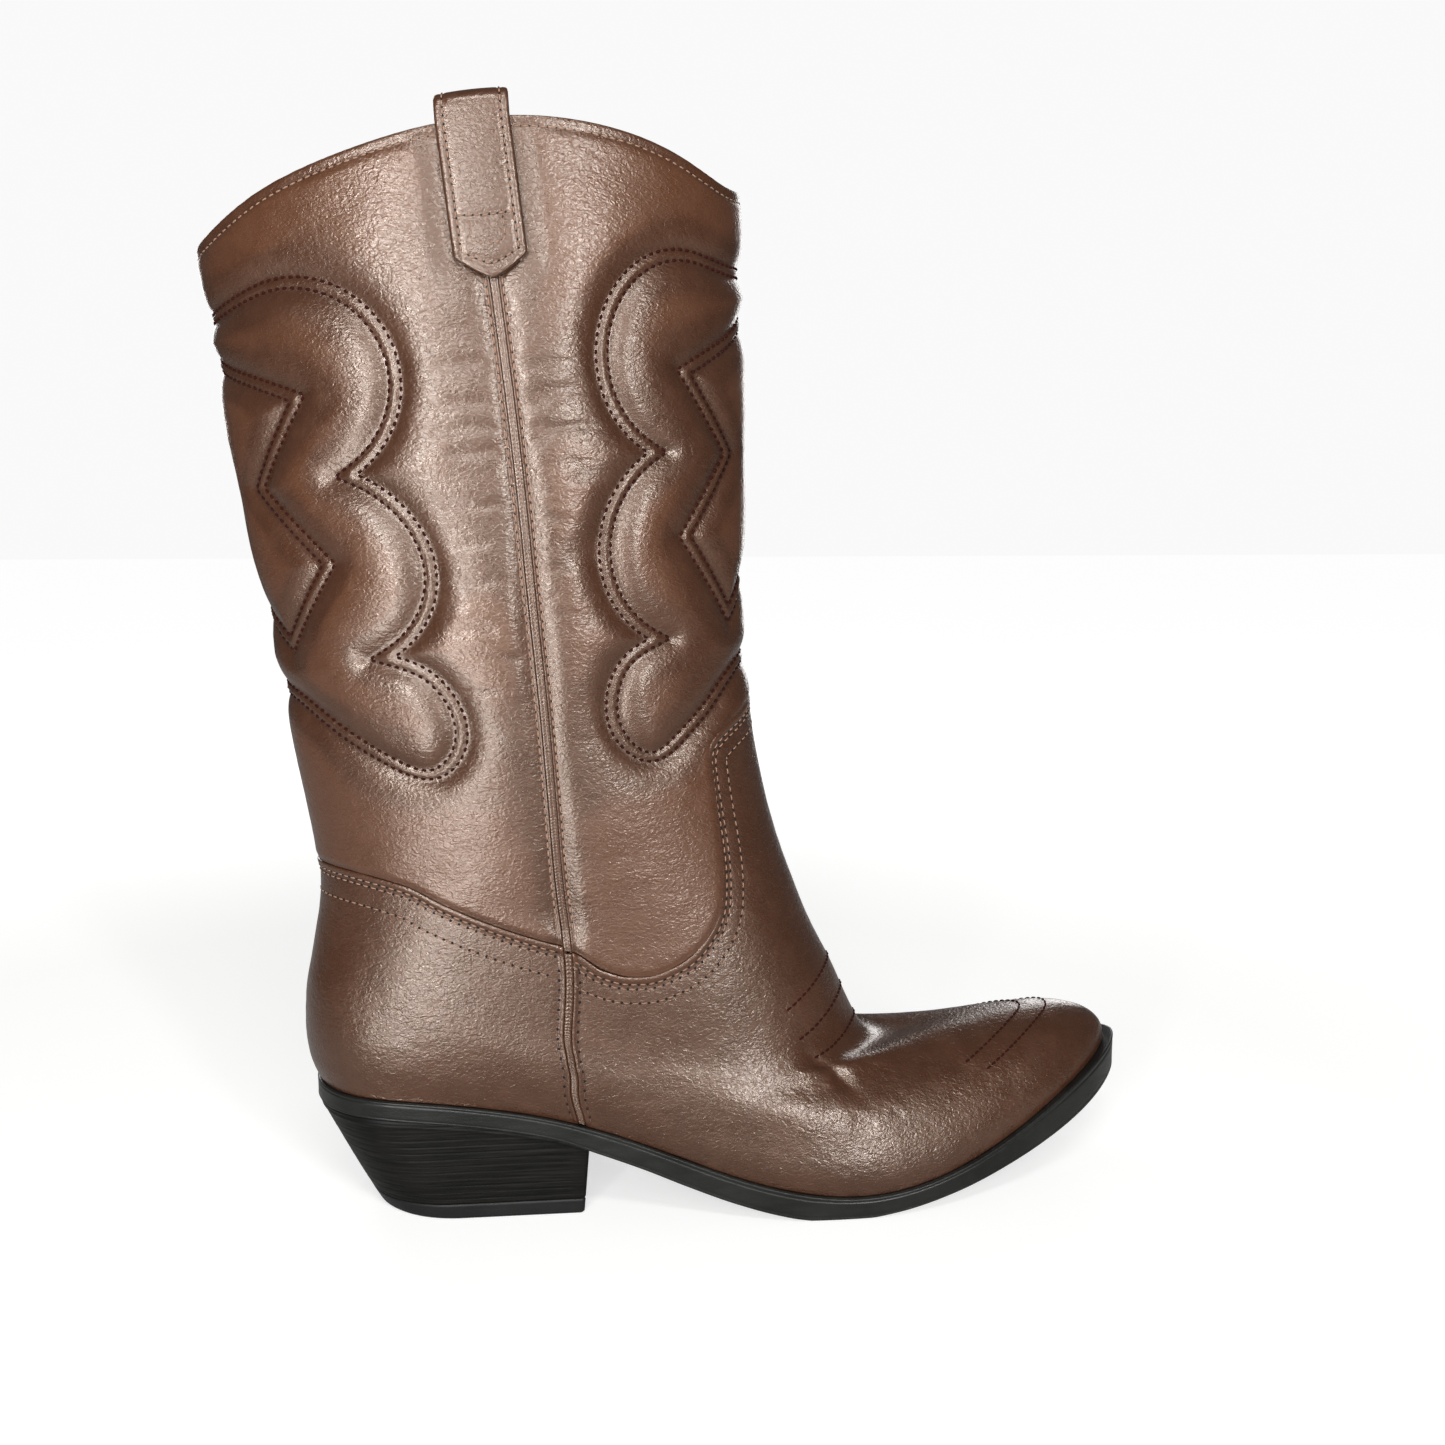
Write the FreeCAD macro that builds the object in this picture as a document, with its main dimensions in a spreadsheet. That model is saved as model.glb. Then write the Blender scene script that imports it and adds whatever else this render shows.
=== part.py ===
import FreeCAD, Part
import math
import os

# Pull-on western boot, right foot.
# Frame: origin on the floor under the middle of the heel's top lift, +X towards the toe, +Z up,
# -Y is the outer (lateral) side. Millimetres.
#
# Places on the upper's outer surface are given by two numbers:
#   around  0 middle of the heel, 0..1 lateral side, 1 middle of toe and shin, 1..2 medial side
#   up      0 feather line (where the upper meets the sole), 1 rim
# "half" is around folded onto one side: 0 at the heel, 1 at the toe or shin.

V = FreeCAD.Vector
LATERAL, MEDIAL = -1, 1
os.makedirs("parts", exist_ok=True)
doc = FreeCAD.newDocument("cowboy_boot")

# ---------------------------------------------------------------- driving dimensions
DIMS = [
    ("leather_thk", 1.3, "upper leather"),
    ("layer_gap", 0.1, "air between stacked layers"),
    ("foam_thk", 1.4, "quilting foam in the shaft"),
    ("lining_thk", 0.8, "lining"),
    ("stiff_thk", 1.0, "heel stiffener and toe puff"),
    ("edge_gap", 0.35, "gap between butted upper edges"),
    ("piping_half", 1.2, "half width of the side piping"),
    ("piping_rise", 0.7, "piping stands this far above the leather"),
    ("strap_width", 21.5, "pull strap width"),
    ("strap_thk", 1.45, "pull strap thickness"),
    ("strap_rise", 6.4, "loop height above the rim"),
    ("strap_leg", 39.5, "length of the strap's legs below the rim, without the pointed end"),
    ("insole_low", 1.8, "insole board underside above the feather plane"),
    ("insole_top", 4.0, "insole board top above the feather plane"),
    ("sock_low", 4.1, "sock lining underside"),
    ("sock_top", 5.1, "sock lining top"),
    ("filler_low", 0.1, "cork filler underside"),
    ("filler_top", 1.6, "cork filler top"),
    ("shank_low", 0.15, "shank underside"),
    ("shank_top", 1.55, "shank top"),
    ("shank_width", 13.0, "shank width"),
    ("lift_thk", 5.0, "heel top lift thickness"),
    ("heel_waist", 22.0, "height of the heel's middle section"),
    ("heel_head", 44.0, "height of the heel's upper loft section, above its seat"),
    ("screw_r", 2.0, "heel screw shank radius"),
    ("screw_head_r", 4.4, "heel screw head radius"),
    ("screw_head", 1.5, "heel screw head thickness"),
    ("screw_len", 30.0, "heel screw length under the head"),
    ("nail_r", 1.0, "heel seat nail radius"),
    ("nail_len", 20.0, "heel seat nail length"),
    ("pin_r", 1.0, "top lift pin radius"),
    ("pin_len", 14.0, "top lift pin length"),
    ("rivet_r", 1.8, "shank rivet radius"),
    ("rivet_len", 2.0, "shank rivet length"),
    ("fit_gap", 0.06, "radial gap round a driven fastener"),
    ("half_depth", 70.0, "half depth of the side profile extrusions"),
]
sheet = doc.addObject("Spreadsheet::Sheet", "Dims")
for row, (alias, value, note) in enumerate(DIMS, 1):
    sheet.set("A%d" % row, note)
    sheet.set("B%d" % row, "%g" % value)
    sheet.setAlias("B%d" % row, alias)
doc.recompute()


def dim(name):
    return float(getattr(sheet, name))


LEATHER, GAP = dim("leather_thk"), dim("layer_gap")
PIPE, PIPE_RISE = dim("piping_half"), dim("piping_rise")
# depths under the outer surface
FOAM_OUT = LEATHER + GAP
FOAM_IN = FOAM_OUT + dim("foam_thk")
LINING_OUT = FOAM_IN + GAP
LINING_IN = LINING_OUT + dim("lining_thk")


# ---------------------------------------------------------------- curves through points
def lerp(start, end, t):
    return start + (end - start) * t


def spline(xs, ys):
    """Natural cubic spline, straight beyond both ends."""
    count = len(xs)
    step = [xs[i + 1] - xs[i] for i in range(count - 1)]
    slope = [(ys[i + 1] - ys[i]) / step[i] for i in range(count - 1)]
    lower, upper, right = [0.0] * count, [0.0] * count, [0.0] * count
    diag = [1.0] * count
    for i in range(1, count - 1):
        lower[i], diag[i], upper[i] = step[i - 1], 2 * (step[i - 1] + step[i]), step[i]
        right[i] = 6 * (slope[i] - slope[i - 1])
    for i in range(1, count):
        factor = lower[i] / diag[i - 1]
        diag[i] -= factor * upper[i - 1]
        right[i] -= factor * right[i - 1]
    bend = [0.0] * count  # second derivatives
    for i in range(count - 2, 0, -1):
        bend[i] = (right[i] - upper[i] * bend[i + 1]) / diag[i]

    def value_at(x):
        if x <= xs[0]:
            return ys[0] + (slope[0] - step[0] * bend[1] / 6) * (x - xs[0])
        if x >= xs[-1]:
            return ys[-1] + (slope[-1] + step[-1] * bend[-2] / 6) * (x - xs[-1])
        k = 0
        while xs[k + 1] <= x:
            k += 1
        after, before, width = x - xs[k], xs[k + 1] - x, step[k]
        return ((bend[k] * before ** 3 + bend[k + 1] * after ** 3) / (6 * width)
                + (ys[k] / width - bend[k] * width / 6) * before
                + (ys[k + 1] / width - bend[k + 1] * width / 6) * after)

    return value_at


def spline_even(xs, ys):
    """Spline from x = 0, mirrored past both ends so that its slope there is zero."""
    end = 2 * xs[-1]
    return spline([-xs[2], -xs[1]] + list(xs) + [end - xs[-2], end - xs[-3]],
                  [ys[2], ys[1]] + list(ys) + [ys[-2], ys[-3]])


def pchip(xs, ys):
    """Piecewise cubic that never overshoots its points, level beyond both ends."""
    count = len(xs)
    step = [xs[i + 1] - xs[i] for i in range(count - 1)]
    slope = [(ys[i + 1] - ys[i]) / step[i] for i in range(count - 1)]
    tangent = [slope[0]] + [0.0] * (count - 2) + [slope[-1]]
    for i in range(1, count - 1):
        if slope[i - 1] * slope[i] > 0:
            weight1 = 2 * step[i] + step[i - 1]
            weight2 = step[i] + 2 * step[i - 1]
            tangent[i] = (weight1 + weight2) / (weight1 / slope[i - 1] + weight2 / slope[i])

    def value_at(x):
        x = min(max(x, xs[0]), xs[-1])
        k = 0
        while k < count - 2 and x > xs[k + 1]:
            k += 1
        t = (x - xs[k]) / step[k]
        return (ys[k] * (1 + 2 * t) * (1 - t) ** 2
                + step[k] * tangent[k] * t * (1 - t) ** 2
                + ys[k + 1] * t * t * (3 - 2 * t)
                + step[k] * tangent[k + 1] * t * t * (t - 1))

    return value_at


# ---------------------------------------------------------------- the last: surface of the upper
# Columns stand at these values of half.
HALVES = [i / 8 for i in range(9)]
# Rows run up the boot: up, back point (x, z), front point (x, z), how far the sides sag below the
# line between them (negative: arch above it), then the half widths by column on the lateral side
# and on the medial side (None: as lateral).
ROWS = [
    (0.00, (-57.5, 42.5), (219.0, 41.5), 33,
     [62, 58, 42.4, 34.6, 37.5, 44.0, 44.5, 44, 40], [62, 58, 42.0, 33.2, 33.8, 43.5, 42.5, 41, 40]),
    (0.03, (-59.6, 47.5), (218.0, 46.0), 31,
     [62, 58, 43.6, 35.8, 38.2, 44.4, 44.0, 42, 38], [62, 58, 43.2, 34.4, 34.8, 44.0, 42.0, 40, 38]),
    (0.07, (-61.0, 53.5), (211, 51.8), 27,
     [61, 58, 44.5, 36.9, 37.4, 42.0, 41.0, 38, 34], [61, 58, 44.5, 35.9, 35.0, 41.4, 39.5, 36.5, 34]),
    (0.11, (-61.6, 60.5), (196, 54.8), 22.5,
     [60, 57, 44.5, 37.2, 36.2, 39.4, 35.5, 30, 27], [60, 57, 44.5, 36.6, 34.6, 38.6, 34.6, 29.5, 27]),
    (0.15, (-61.4, 67.5), (172, 53.5), 17,
     [57, 54, 43.5, 37.0, 35.0, 36.8, 30.5, 23, 20], [57, 54, 43.5, 36.6, 34.2, 36.2, 30.0, 23, 20]),
    (0.19, (-60.6, 75.5), (148, 49.8), 11,
     [52, 50, 42.0, 36.4, 34.0, 36.3, 36.0, 25, 20], [52, 50, 42.0, 36.2, 33.6, 36.0, 35.6, 25, 20]),
    (0.23, (-59.0, 83.5), (130.5, 50.0), 5,
     [47, 46, 40.5, 35.6, 33.4, 34.9, 38.6, 33, 26], [47, 46, 40.5, 35.6, 33.2, 34.7, 38.2, 33, 26]),
    (0.27, (-57.3, 92.5), (120, 68.5), 2,
     [42, 41, 38.5, 34.8, 33.0, 33.8, 37.6, 38, 32], [42, 41, 38.5, 34.8, 33.0, 33.8, 37.4, 38, 32]),
    (0.31, (-55.8, 101.5), (110, 88.5), 0,
     [38, 37.5, 36.5, 34.4, 33.0, 33.4, 35.8, 36.5, 34], None),
    (0.36, (-55.2, 112.5), (101, 110.5), 0,
     [35, 35, 35.0, 34.4, 33.7, 33.8, 34.8, 35.2, 34], None),
    (0.42, (-56.4, 126.5), (94.3, 132.5), 0,
     [34, 34, 34.8, 35.0, 35.0, 34.8, 34.6, 34, 34], None),
    (0.50, (-60.2, 149.5), (88.8, 158.5), 0,
     [34, 34.5, 36.0, 36.6, 36.8, 36.6, 36.0, 35, 34.5], None),
    (0.60, (-66.0, 183.5), (86.0, 192.5), 0,
     [35, 35.5, 37.6, 38.4, 38.6, 38.4, 37.6, 36, 35.5], None),
    (0.70, (-71.6, 218.5), (85.5, 230.5), 0,
     [36, 36.5, 38.8, 39.6, 39.8, 39.6, 38.8, 37, 36.5], None),
    (0.80, (-77.0, 252.5), (85.4, 265.5), -4,
     [36, 37, 39.2, 40.2, 40.4, 40.2, 39.2, 37.5, 36.5], None),
    (0.90, (-81.8, 283.5), (85.2, 299.5), -12,
     [36, 37, 39.2, 40.2, 40.4, 40.2, 39.2, 37.5, 36.5], None),
    (1.00, (-84.8, 309.5), (84.0, 330.1), -24,
     [36, 37, 39, 39.9, 40.0, 39.8, 39, 37.5, 36.5], None),
]
# share of a row's arch taken by each column
ARCH_SHARE = [0, 0.11, 0.45, 0.74, 0.92, 0.81, 0.44, 0.03, 0]

# feather line in side view: (x, z)
FEATHER_POINTS = [
    (-60, 43.1), (-40, 42.5), (-20, 41.1), (0, 38.6), (20, 34.9), (40, 29.2), (60, 21.9),
    (80, 14.5), (100, 9.3), (120, 7.1), (140, 9.0), (160, 14.6), (180, 23.1), (200, 33.1),
    (212, 38.5), (221, 42.1),
]
feather_z = spline(*zip(*FEATHER_POINTS))
# underside of the outsole in side view: (x, z)
SOLE_POINTS = [
    (-60, 36.5), (-40, 35.9), (-20, 34.5), (0, 32.1), (20, 28.3), (35, 23.0), (50, 17.4),
    (64, 11.6), (79, 6.0), (93, 2.0), (101, 0.4), (108, -0.3), (114, -0.4), (121, -0.25),
    (133, 1.0), (154, 5.1), (177, 11.9), (196, 19.0), (211, 25.5), (221, 30.5), (228, 34.5),
]
sole_z = pchip(*zip(*SOLE_POINTS))

BOTTOM_BACK, BOTTOM_FRONT, BOTTOM_SAG = ROWS[0][1:4]
BOTTOM_LENGTH = BOTTOM_FRONT[0] - BOTTOM_BACK[0]
FEATHER_BLEND = 0.16  # below this height the surface is pulled onto the feather line


def length_share(half):
    """Share of the way from back point to front point."""
    return (1 - math.cos(math.pi * half)) / 2


def centre_y(x):
    """The toe turns towards the inner side of the foot."""
    share = (x - 90) / 130.0
    return 12.0 * share ** 1.7 if share > 0 else 0.0


def sag_share(half):
    """Share of a row's sag, from the feather line's drop below the bottom row's chord."""
    share = length_share(half)
    chord_z = lerp(BOTTOM_BACK[1], BOTTOM_FRONT[1], share)
    return (chord_z - feather_z(BOTTOM_BACK[0] + BOTTOM_LENGTH * share)) / BOTTOM_SAG


SAG_SHARE = [0.0] + [sag_share(half) for half in HALVES[1:-1]] + [0.0]
ROW_UPS = [row[0] for row in ROWS]


def column_curves(j):
    """Height, lateral and medial half width of column j as curves of up."""
    share = length_share(HALVES[j])
    heights, lateral, medial = [], [], []
    for up, back, front, sag, lateral_widths, medial_widths in ROWS:
        shares = SAG_SHARE if sag >= 0 else ARCH_SHARE
        heights.append(lerp(back[1], front[1], share) - sag * shares[j])
        lateral.append(lateral_widths[j])
        medial.append((medial_widths or lateral_widths)[j])
    return [spline(ROW_UPS, values) for values in (heights, lateral, medial)]


COLUMNS = [column_curves(j) for j in range(len(HALVES))]
# x and z of the back point, then of the front point, as curves of up
END_CURVES = [spline(ROW_UPS, [row[point][axis] for row in ROWS])
              for point in (1, 2) for axis in (0, 1)]
row_cache = {}


def row_at(up):
    """End points, height offset and half widths of the row at this height."""
    up = round(up, 7)
    if up not in row_cache:
        back_x, back_z, front_x, front_z = (curve(up) for curve in END_CURVES)
        offsets = [column[0](up) - lerp(back_z, front_z, length_share(half))
                   for half, column in zip(HALVES, COLUMNS)]
        row_cache[up] = (back_x, back_z, front_x, front_z, spline_even(HALVES, offsets),
                         spline_even(HALVES, [column[1](up) for column in COLUMNS]),
                         spline_even(HALVES, [column[2](up) for column in COLUMNS]))
    return row_cache[up]


def loose_point(half, up, side):
    """Point of the surface before its lower part is pulled onto the feather line."""
    back_x, back_z, front_x, front_z, offset, lateral, medial = row_at(up)
    share = length_share(half)
    x = lerp(back_x, front_x, share)
    width = (lateral if side == LATERAL else medial)(half)
    y = centre_y(x) + side * width * math.sin(math.pi * half)
    return x, y, lerp(back_z, front_z, share) + offset(half)


def feather_error(half):
    x, y, z = loose_point(half, 0.0, LATERAL)
    return feather_z(x) - z


FIX_HALVES = [i / 24 for i in range(25)]
feather_fix = spline_even(FIX_HALVES, [feather_error(half) for half in FIX_HALVES])


def fold(around):
    around = around % 2.0
    return around if around <= 1 else 2 - around


def surf(around, up):
    """Point of the upper's outer surface."""
    half = fold(around)
    x, y, z = loose_point(half, up, LATERAL if around % 2.0 <= 1 else MEDIAL)
    if up < FEATHER_BLEND:
        z += (1 - max(up, 0) / FEATHER_BLEND) ** 2 * feather_fix(half)
    return V(x, y, z)


def normal(around, up):
    """Outward normal, turned level at the feather line."""
    step = 2e-3
    along = surf(around + step, up) - surf(around - step, up)
    result = along.cross(surf(around, up + step) - surf(around, up - step))
    result.normalize()
    k = min(max(up / 0.05, 0.0), 1.0)
    result = V(result.x, result.y, result.z * k * k * (3 - 2 * k))
    result.normalize()
    return result


def layer(around, up, depth):
    return surf(around, up) - normal(around, up) * depth


def around_per_mm(around, up):
    step = 1e-3
    return 2 * step / (surf(around + step, up) - surf(around - step, up)).Length


# Side seam and edges of the foot covers on the lateral side; the medial side mirrors them.
# side seam: (up, around)
SEAM_POINTS = [
    (0.0, 0.380), (0.016, 0.381), (0.068, 0.386), (0.1, 0.396), (0.136, 0.413), (0.18, 0.440),
    (0.23, 0.466), (0.28, 0.486), (0.31, 0.4945), (0.366, 0.505), (0.45, 0.521), (0.543, 0.533),
    (0.63, 0.5345), (0.783, 0.530), (0.883, 0.5215), (1.0, 0.5105),
]
# top edge of the vamp: (half, up)
VAMP_TOP_POINTS = [
    (0.46, 0.306), (0.503, 0.297), (0.53, 0.2855), (0.556, 0.282), (0.579, 0.283),
    (0.614, 0.290), (0.65, 0.301), (0.687, 0.318), (0.71, 0.332), (0.73, 0.353),
    (0.744, 0.377), (0.754, 0.408), (0.761, 0.446), (0.768, 0.478), (0.785, 0.495),
    (0.82, 0.507), (0.88, 0.5185), (0.938, 0.527), (1.0, 0.532),
]
# top edge of the counter cover: (half, up)
COUNTER_TOP_POINTS = [
    (0.0, 0.380), (0.062, 0.3795), (0.17, 0.376), (0.283, 0.362), (0.34, 0.341),
    (0.399, 0.322), (0.439, 0.312), (0.477, 0.305), (0.53, 0.297),
]
seam = spline(*zip(*SEAM_POINTS))
vamp_top_curve = pchip(*zip(*VAMP_TOP_POINTS))
counter_top_curve = pchip(*zip(*COUNTER_TOP_POINTS))


def vamp_top(around):
    return vamp_top_curve(fold(around))


def counter_top(around):
    return counter_top_curve(abs(around))


def beside_seam(up, mm, side):
    """Around value of a line mm in front of (+) or behind (-) a side seam."""
    middle = seam(up)
    around = middle + mm * around_per_mm(middle, up)
    return around if side == LATERAL else 2 - around


def across_front(up, inset, share):
    """From the lateral seam round the front to the medial seam, inset mm from both."""
    return lerp(beside_seam(up, inset, LATERAL), beside_seam(up, inset, MEDIAL), share)


def across_back(up, inset, share):
    """From the medial seam round the heel to the lateral seam, inset mm from both."""
    return lerp(beside_seam(up, -inset, MEDIAL) - 2.0, beside_seam(up, -inset, LATERAL), share)


# ---------------------------------------------------------------- solids from stacked surfaces
def grid_face(points):
    surface = Part.BSplineSurface()
    surface.interpolate(points)
    return surface.toShape()


def slab(label, outer, inner):
    """A closed solid between two grids of points with the same layout."""
    faces = [grid_face(outer), grid_face(inner)]
    edges = []
    for face in faces:
        surface = face.Surface
        u0, u1, v0, v1 = surface.bounds()
        edges.append((surface.uIso(u0), surface.uIso(u1), surface.vIso(v0), surface.vIso(v1)))
    for edge_out, edge_in in zip(*edges):
        # 1: both edges run the same way
        faces.append(Part.makeRuledSurface(edge_out.toShape(), edge_in.toShape(), 1))
    shell = Part.makeShell(faces)
    shell.sewShape(1e-3)
    solid = Part.Solid(shell if shell.ShapeType == "Shell" else shell.Shells[0])
    if solid.Volume < 0:
        solid.reverse()
    solid = Part.Solid(solid)
    if not solid.isValid():
        solid.fix(1e-3, 1e-3, 1e-2)
    feature = doc.addObject("Part::Feature", label)
    feature.Shape = solid
    return feature


def even(count):
    return [i / (count - 1) for i in range(count)]


def sheet_piece(label, place, depth_out, depth_in, columns, row_count):
    """place(across, rise), both 0..1, gives (around, up) on the outer surface."""
    grids = []
    for depth in (depth_out, depth_in):
        grids.append([[layer(*place(across, rise), depth) for rise in even(row_count)]
                      for across in columns])
    return slab(label, *grids)


# ---------------------------------------------------------------- leather of the upper
PANEL_INSET = PIPE + GAP  # panel edges stand this far from the seam line
VAMP_CORNER = 0.297  # height where the vamp's top edge meets the side seams
COUNTER_CORNER = 0.3  # height at which the back pieces' columns are spread
# columns of the vamp and front panel, by half, closest where the vamp's top edge is steep
FRONT_HALF = [
    0, 0.02, 0.05, 0.09, 0.13, 0.17, 0.21, 0.25, 0.29, 0.33, 0.37, 0.41, 0.44, 0.465, 0.485,
    0.5, 0.512, 0.523, 0.533, 0.543, 0.555, 0.57, 0.59, 0.62, 0.66, 0.71, 0.76, 0.81, 0.86,
    0.91, 0.955, 1.0,
]
FRONT_COLUMNS = [x / 2 for x in FRONT_HALF] + [1 - x / 2 for x in reversed(FRONT_HALF[:-1])]


def follow_seams(across, start, up, power):
    """Shift the columns near each end so that they lie along the side seams."""
    side = LATERAL if across < 0.5 else MEDIAL
    shift = beside_seam(up, PANEL_INSET, side) - beside_seam(VAMP_CORNER, PANEL_INSET, side)
    return start + shift * abs(2 * across - 1) ** power


def above_edge(edge, around):
    """Height of the edge curve raised by the edge gap, square to the edge."""
    up, step = edge(around), 1e-3
    slope = (edge(around + step) - edge(around - step)) / (2 * step)
    mm_around = 1 / around_per_mm(around, up)
    mm_up = (surf(around, up + step) - surf(around, up - step)).Length / (2 * step)
    angle = math.atan2(slope * mm_up, mm_around)
    return up + dim("edge_gap") / max(math.cos(angle), 0.12) / mm_up


def vamp_place(across, rise):
    start = across_front(VAMP_CORNER, PANEL_INSET, across)
    up = vamp_top(start) * rise
    return follow_seams(across, start, min(up, VAMP_CORNER), 3), up


def front_panel_place(across, rise):
    start = across_front(VAMP_CORNER, PANEL_INSET, across)
    up = lerp(above_edge(vamp_top, start), 1.0, rise)
    return follow_seams(across, start, max(up, VAMP_CORNER), 1), up


def counter_place(across, rise):
    up = counter_top(across_back(COUNTER_CORNER, PANEL_INSET, across)) * rise
    return across_back(min(up, 0.36), PANEL_INSET, across), up


def back_panel_place(across, rise):
    start = across_back(COUNTER_CORNER, PANEL_INSET, across)
    up = lerp(above_edge(counter_top, start), 1.0, rise)
    return across_back(up, PANEL_INSET, across), up


def leather_pieces():
    return [
        sheet_piece("vamp", vamp_place, 0.0, LEATHER, FRONT_COLUMNS, 29),
        sheet_piece("counter_cover", counter_place, 0.0, LEATHER, even(37), 17),
        sheet_piece("front_shaft_panel", front_panel_place, 0.0, LEATHER, FRONT_COLUMNS, 23),
        sheet_piece("back_shaft_panel", back_panel_place, 0.0, LEATHER, even(33), 21),
    ]


# ---------------------------------------------------------------- foam, linings, stiffeners
FOAM_DEPTHS = (FOAM_OUT, FOAM_IN)
SHAFT_DEPTHS = (LINING_OUT, LINING_IN)
FOOT_DEPTHS = (LINING_OUT - 0.2, LINING_IN - 0.2)
STIFF_DEPTHS = (FOAM_OUT, FOAM_OUT + dim("stiff_thk"))
FOAM_INSET, LINING_INSET = 7, 0.4  # mm from the side seams
# label, run, inset, lowest and highest up, depths, columns, rows
INNER_LAYERS = [
    ("front_shaft_foam", across_front, FOAM_INSET, 0.56, 0.95, FOAM_DEPTHS, 29, 11),
    ("back_shaft_foam", across_back, FOAM_INSET, 0.45, 0.95, FOAM_DEPTHS, 29, 11),
    ("front_shaft_lining", across_front, LINING_INSET, 0.235, 0.995, SHAFT_DEPTHS, 33, 21),
    ("back_shaft_lining", across_back, LINING_INSET, 0.265, 0.995, SHAFT_DEPTHS, 33, 19),
    ("vamp_lining", across_front, LINING_INSET, 0.0, 0.225, FOOT_DEPTHS, 45, 21),
    ("heel_lining", across_back, LINING_INSET, 0.0, 0.255, FOOT_DEPTHS, 33, 15),
]
# label, middle and half span in around, lowest up, highest up in the middle, drop of the top
# edge towards the ends, power of that drop, columns, rows
STIFFENERS = [
    ("heel_counter_stiffener", 0.0, 0.34, 0.03, 0.235, 0.09, 3, 31, 15),
    ("toe_puff", 1.0, 0.26, 0.012, 0.135, 0.05, 2, 31, 17),
]


def inner_layer(label, run, inset, low, high, depths, columns, rows):
    def place(across, rise):
        up = lerp(low, high, rise)
        return run(up, inset, across), up

    return sheet_piece(label, place, *depths, even(columns), rows)


def stiffener(label, middle, span, low, high, drop, power, columns, rows):
    def place(across, rise):
        top = high - drop * abs(2 * across - 1) ** power
        return lerp(middle - span, middle + span, across), lerp(low, top, rise)

    return sheet_piece(label, place, *STIFF_DEPTHS, even(columns), rows)


# ---------------------------------------------------------------- side piping
def piping(label, side, low, high):
    def place(across, rise):
        up = lerp(low, high, rise)
        return beside_seam(up, lerp(-PIPE, PIPE, across), side), up

    return sheet_piece(label, place, -PIPE_RISE, LEATHER, even(5), 41)


# ---------------------------------------------------------------- pull straps
STRAP_TIP = 7.0  # length of the pointed end
TIP_ROWS = 6  # path points over which the point fades out
MM_PER_UP = 405.0  # height in mm to up, near the rim


def strap_path():
    """(height over the rim, depth): outside leg, loop over the rim, inside leg."""
    leg = dim("strap_leg")
    depth_out, depth_in = -(PIPE_RISE + GAP + 0.9), LINING_IN + 1.1
    radius, middle = (depth_in - depth_out) / 2, (depth_in + depth_out) / 2
    loop_base = dim("strap_rise") + radius * 0.2 - radius
    path = [(lerp(-leg, loop_base, k / 15), depth_out) for k in range(15)]
    for k in range(9):
        angle = math.pi * k / 8
        path.append((loop_base + radius * math.sin(angle), middle - radius * math.cos(angle)))
    path += [(lerp(loop_base, -leg, k / 12), depth_in) for k in range(1, 13)]
    return path


def strap_point(height, depth, mm, side):
    """Point mm beside the seam; above the rim it carries on in the surface's direction."""
    up = 1 + height / MM_PER_UP
    held = min(up, 1.0)
    around = beside_seam(held, mm, side)
    point = layer(around, held, depth)
    if up > 1.0:
        upward = surf(around, 1.0) - surf(around, 0.97)
        upward.normalize()
        point = point + upward * height
    return point


def strap_grid(side, offset):
    """Grid of the strap's surface, offset from the path towards the inside of the loop."""
    path = strap_path()
    half_width = dim("strap_width") / 2
    rows = []
    for i, (height, depth) in enumerate(path):
        before, after = path[max(i - 1, 0)], path[min(i + 1, len(path) - 1)]
        run_h, run_d = after[0] - before[0], after[1] - before[1]
        run = math.hypot(run_h, run_d)
        row = []
        for j in range(9):
            width = -1 + j / 4
            tip = STRAP_TIP * (1 - abs(width) ** 1.3) * max(0.0, 1 - i / TIP_ROWS)
            row.append(strap_point(height - tip - run_d / run * offset,
                                   depth + run_h / run * offset, width * half_width, side))
        rows.append(row)
    return rows


def pull_strap(label, side):
    half_thk = dim("strap_thk") / 2
    return slab(label, strap_grid(side, -half_thk), strap_grid(side, half_thk))


# ---------------------------------------------------------------- helpers for the bottom
STATIONS = [-72, -60] + list(range(-50, 201, 10)) + [212, 221, 234]  # x of the side profiles
SPAN_LOW, SPAN_HEIGHT = -10, 90  # boxes that limit a piece along x


def plan(outward):
    """Closed plan curve round the feather line, moved outwards by outward(half)."""
    points, count = [], 72
    for i in range(count):
        around = 2.0 * i / count
        before, after = surf(around - 1e-3, 0.0), surf(around + 1e-3, 0.0)
        point = surf(around, 0.0)
        run = V(after.x - before.x, after.y - before.y, 0)
        run.normalize()
        shift = outward(fold(around))
        points.append(V(point.x + run.y * shift, point.y - run.x * shift, 0))
    return points


def inset_plan(base, toe):
    """Plan inside the feather line by base, and by a further toe at the tip."""
    return plan(lambda half: -(base + toe * max(0, (half - 0.66) / 0.34) ** 2))


def interpolated(points, **options):
    curve = Part.BSplineCurve()
    curve.interpolate(points, **options)
    return curve


def extrusion(name, sketch, direction):
    result = doc.addObject("Part::Extrusion", name)
    result.Base = sketch
    result.DirMode = "Custom"
    result.Dir = direction
    result.Solid = True
    return result


def prism(name, points, z0=-10, z1=90):
    """Upright prism over a closed plan curve."""
    sketch = doc.addObject("Sketcher::SketchObject", name + "_plan")
    sketch.addGeometry(interpolated(points, PeriodicFlag=True), False)
    sketch.Visibility = False
    result = extrusion(name + "_prism", sketch, V(0, 0, 1))
    result.LengthFwd = z1 - z0
    result.Placement = FreeCAD.Placement(V(0, 0, z0), FreeCAD.Rotation())
    return result


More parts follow.
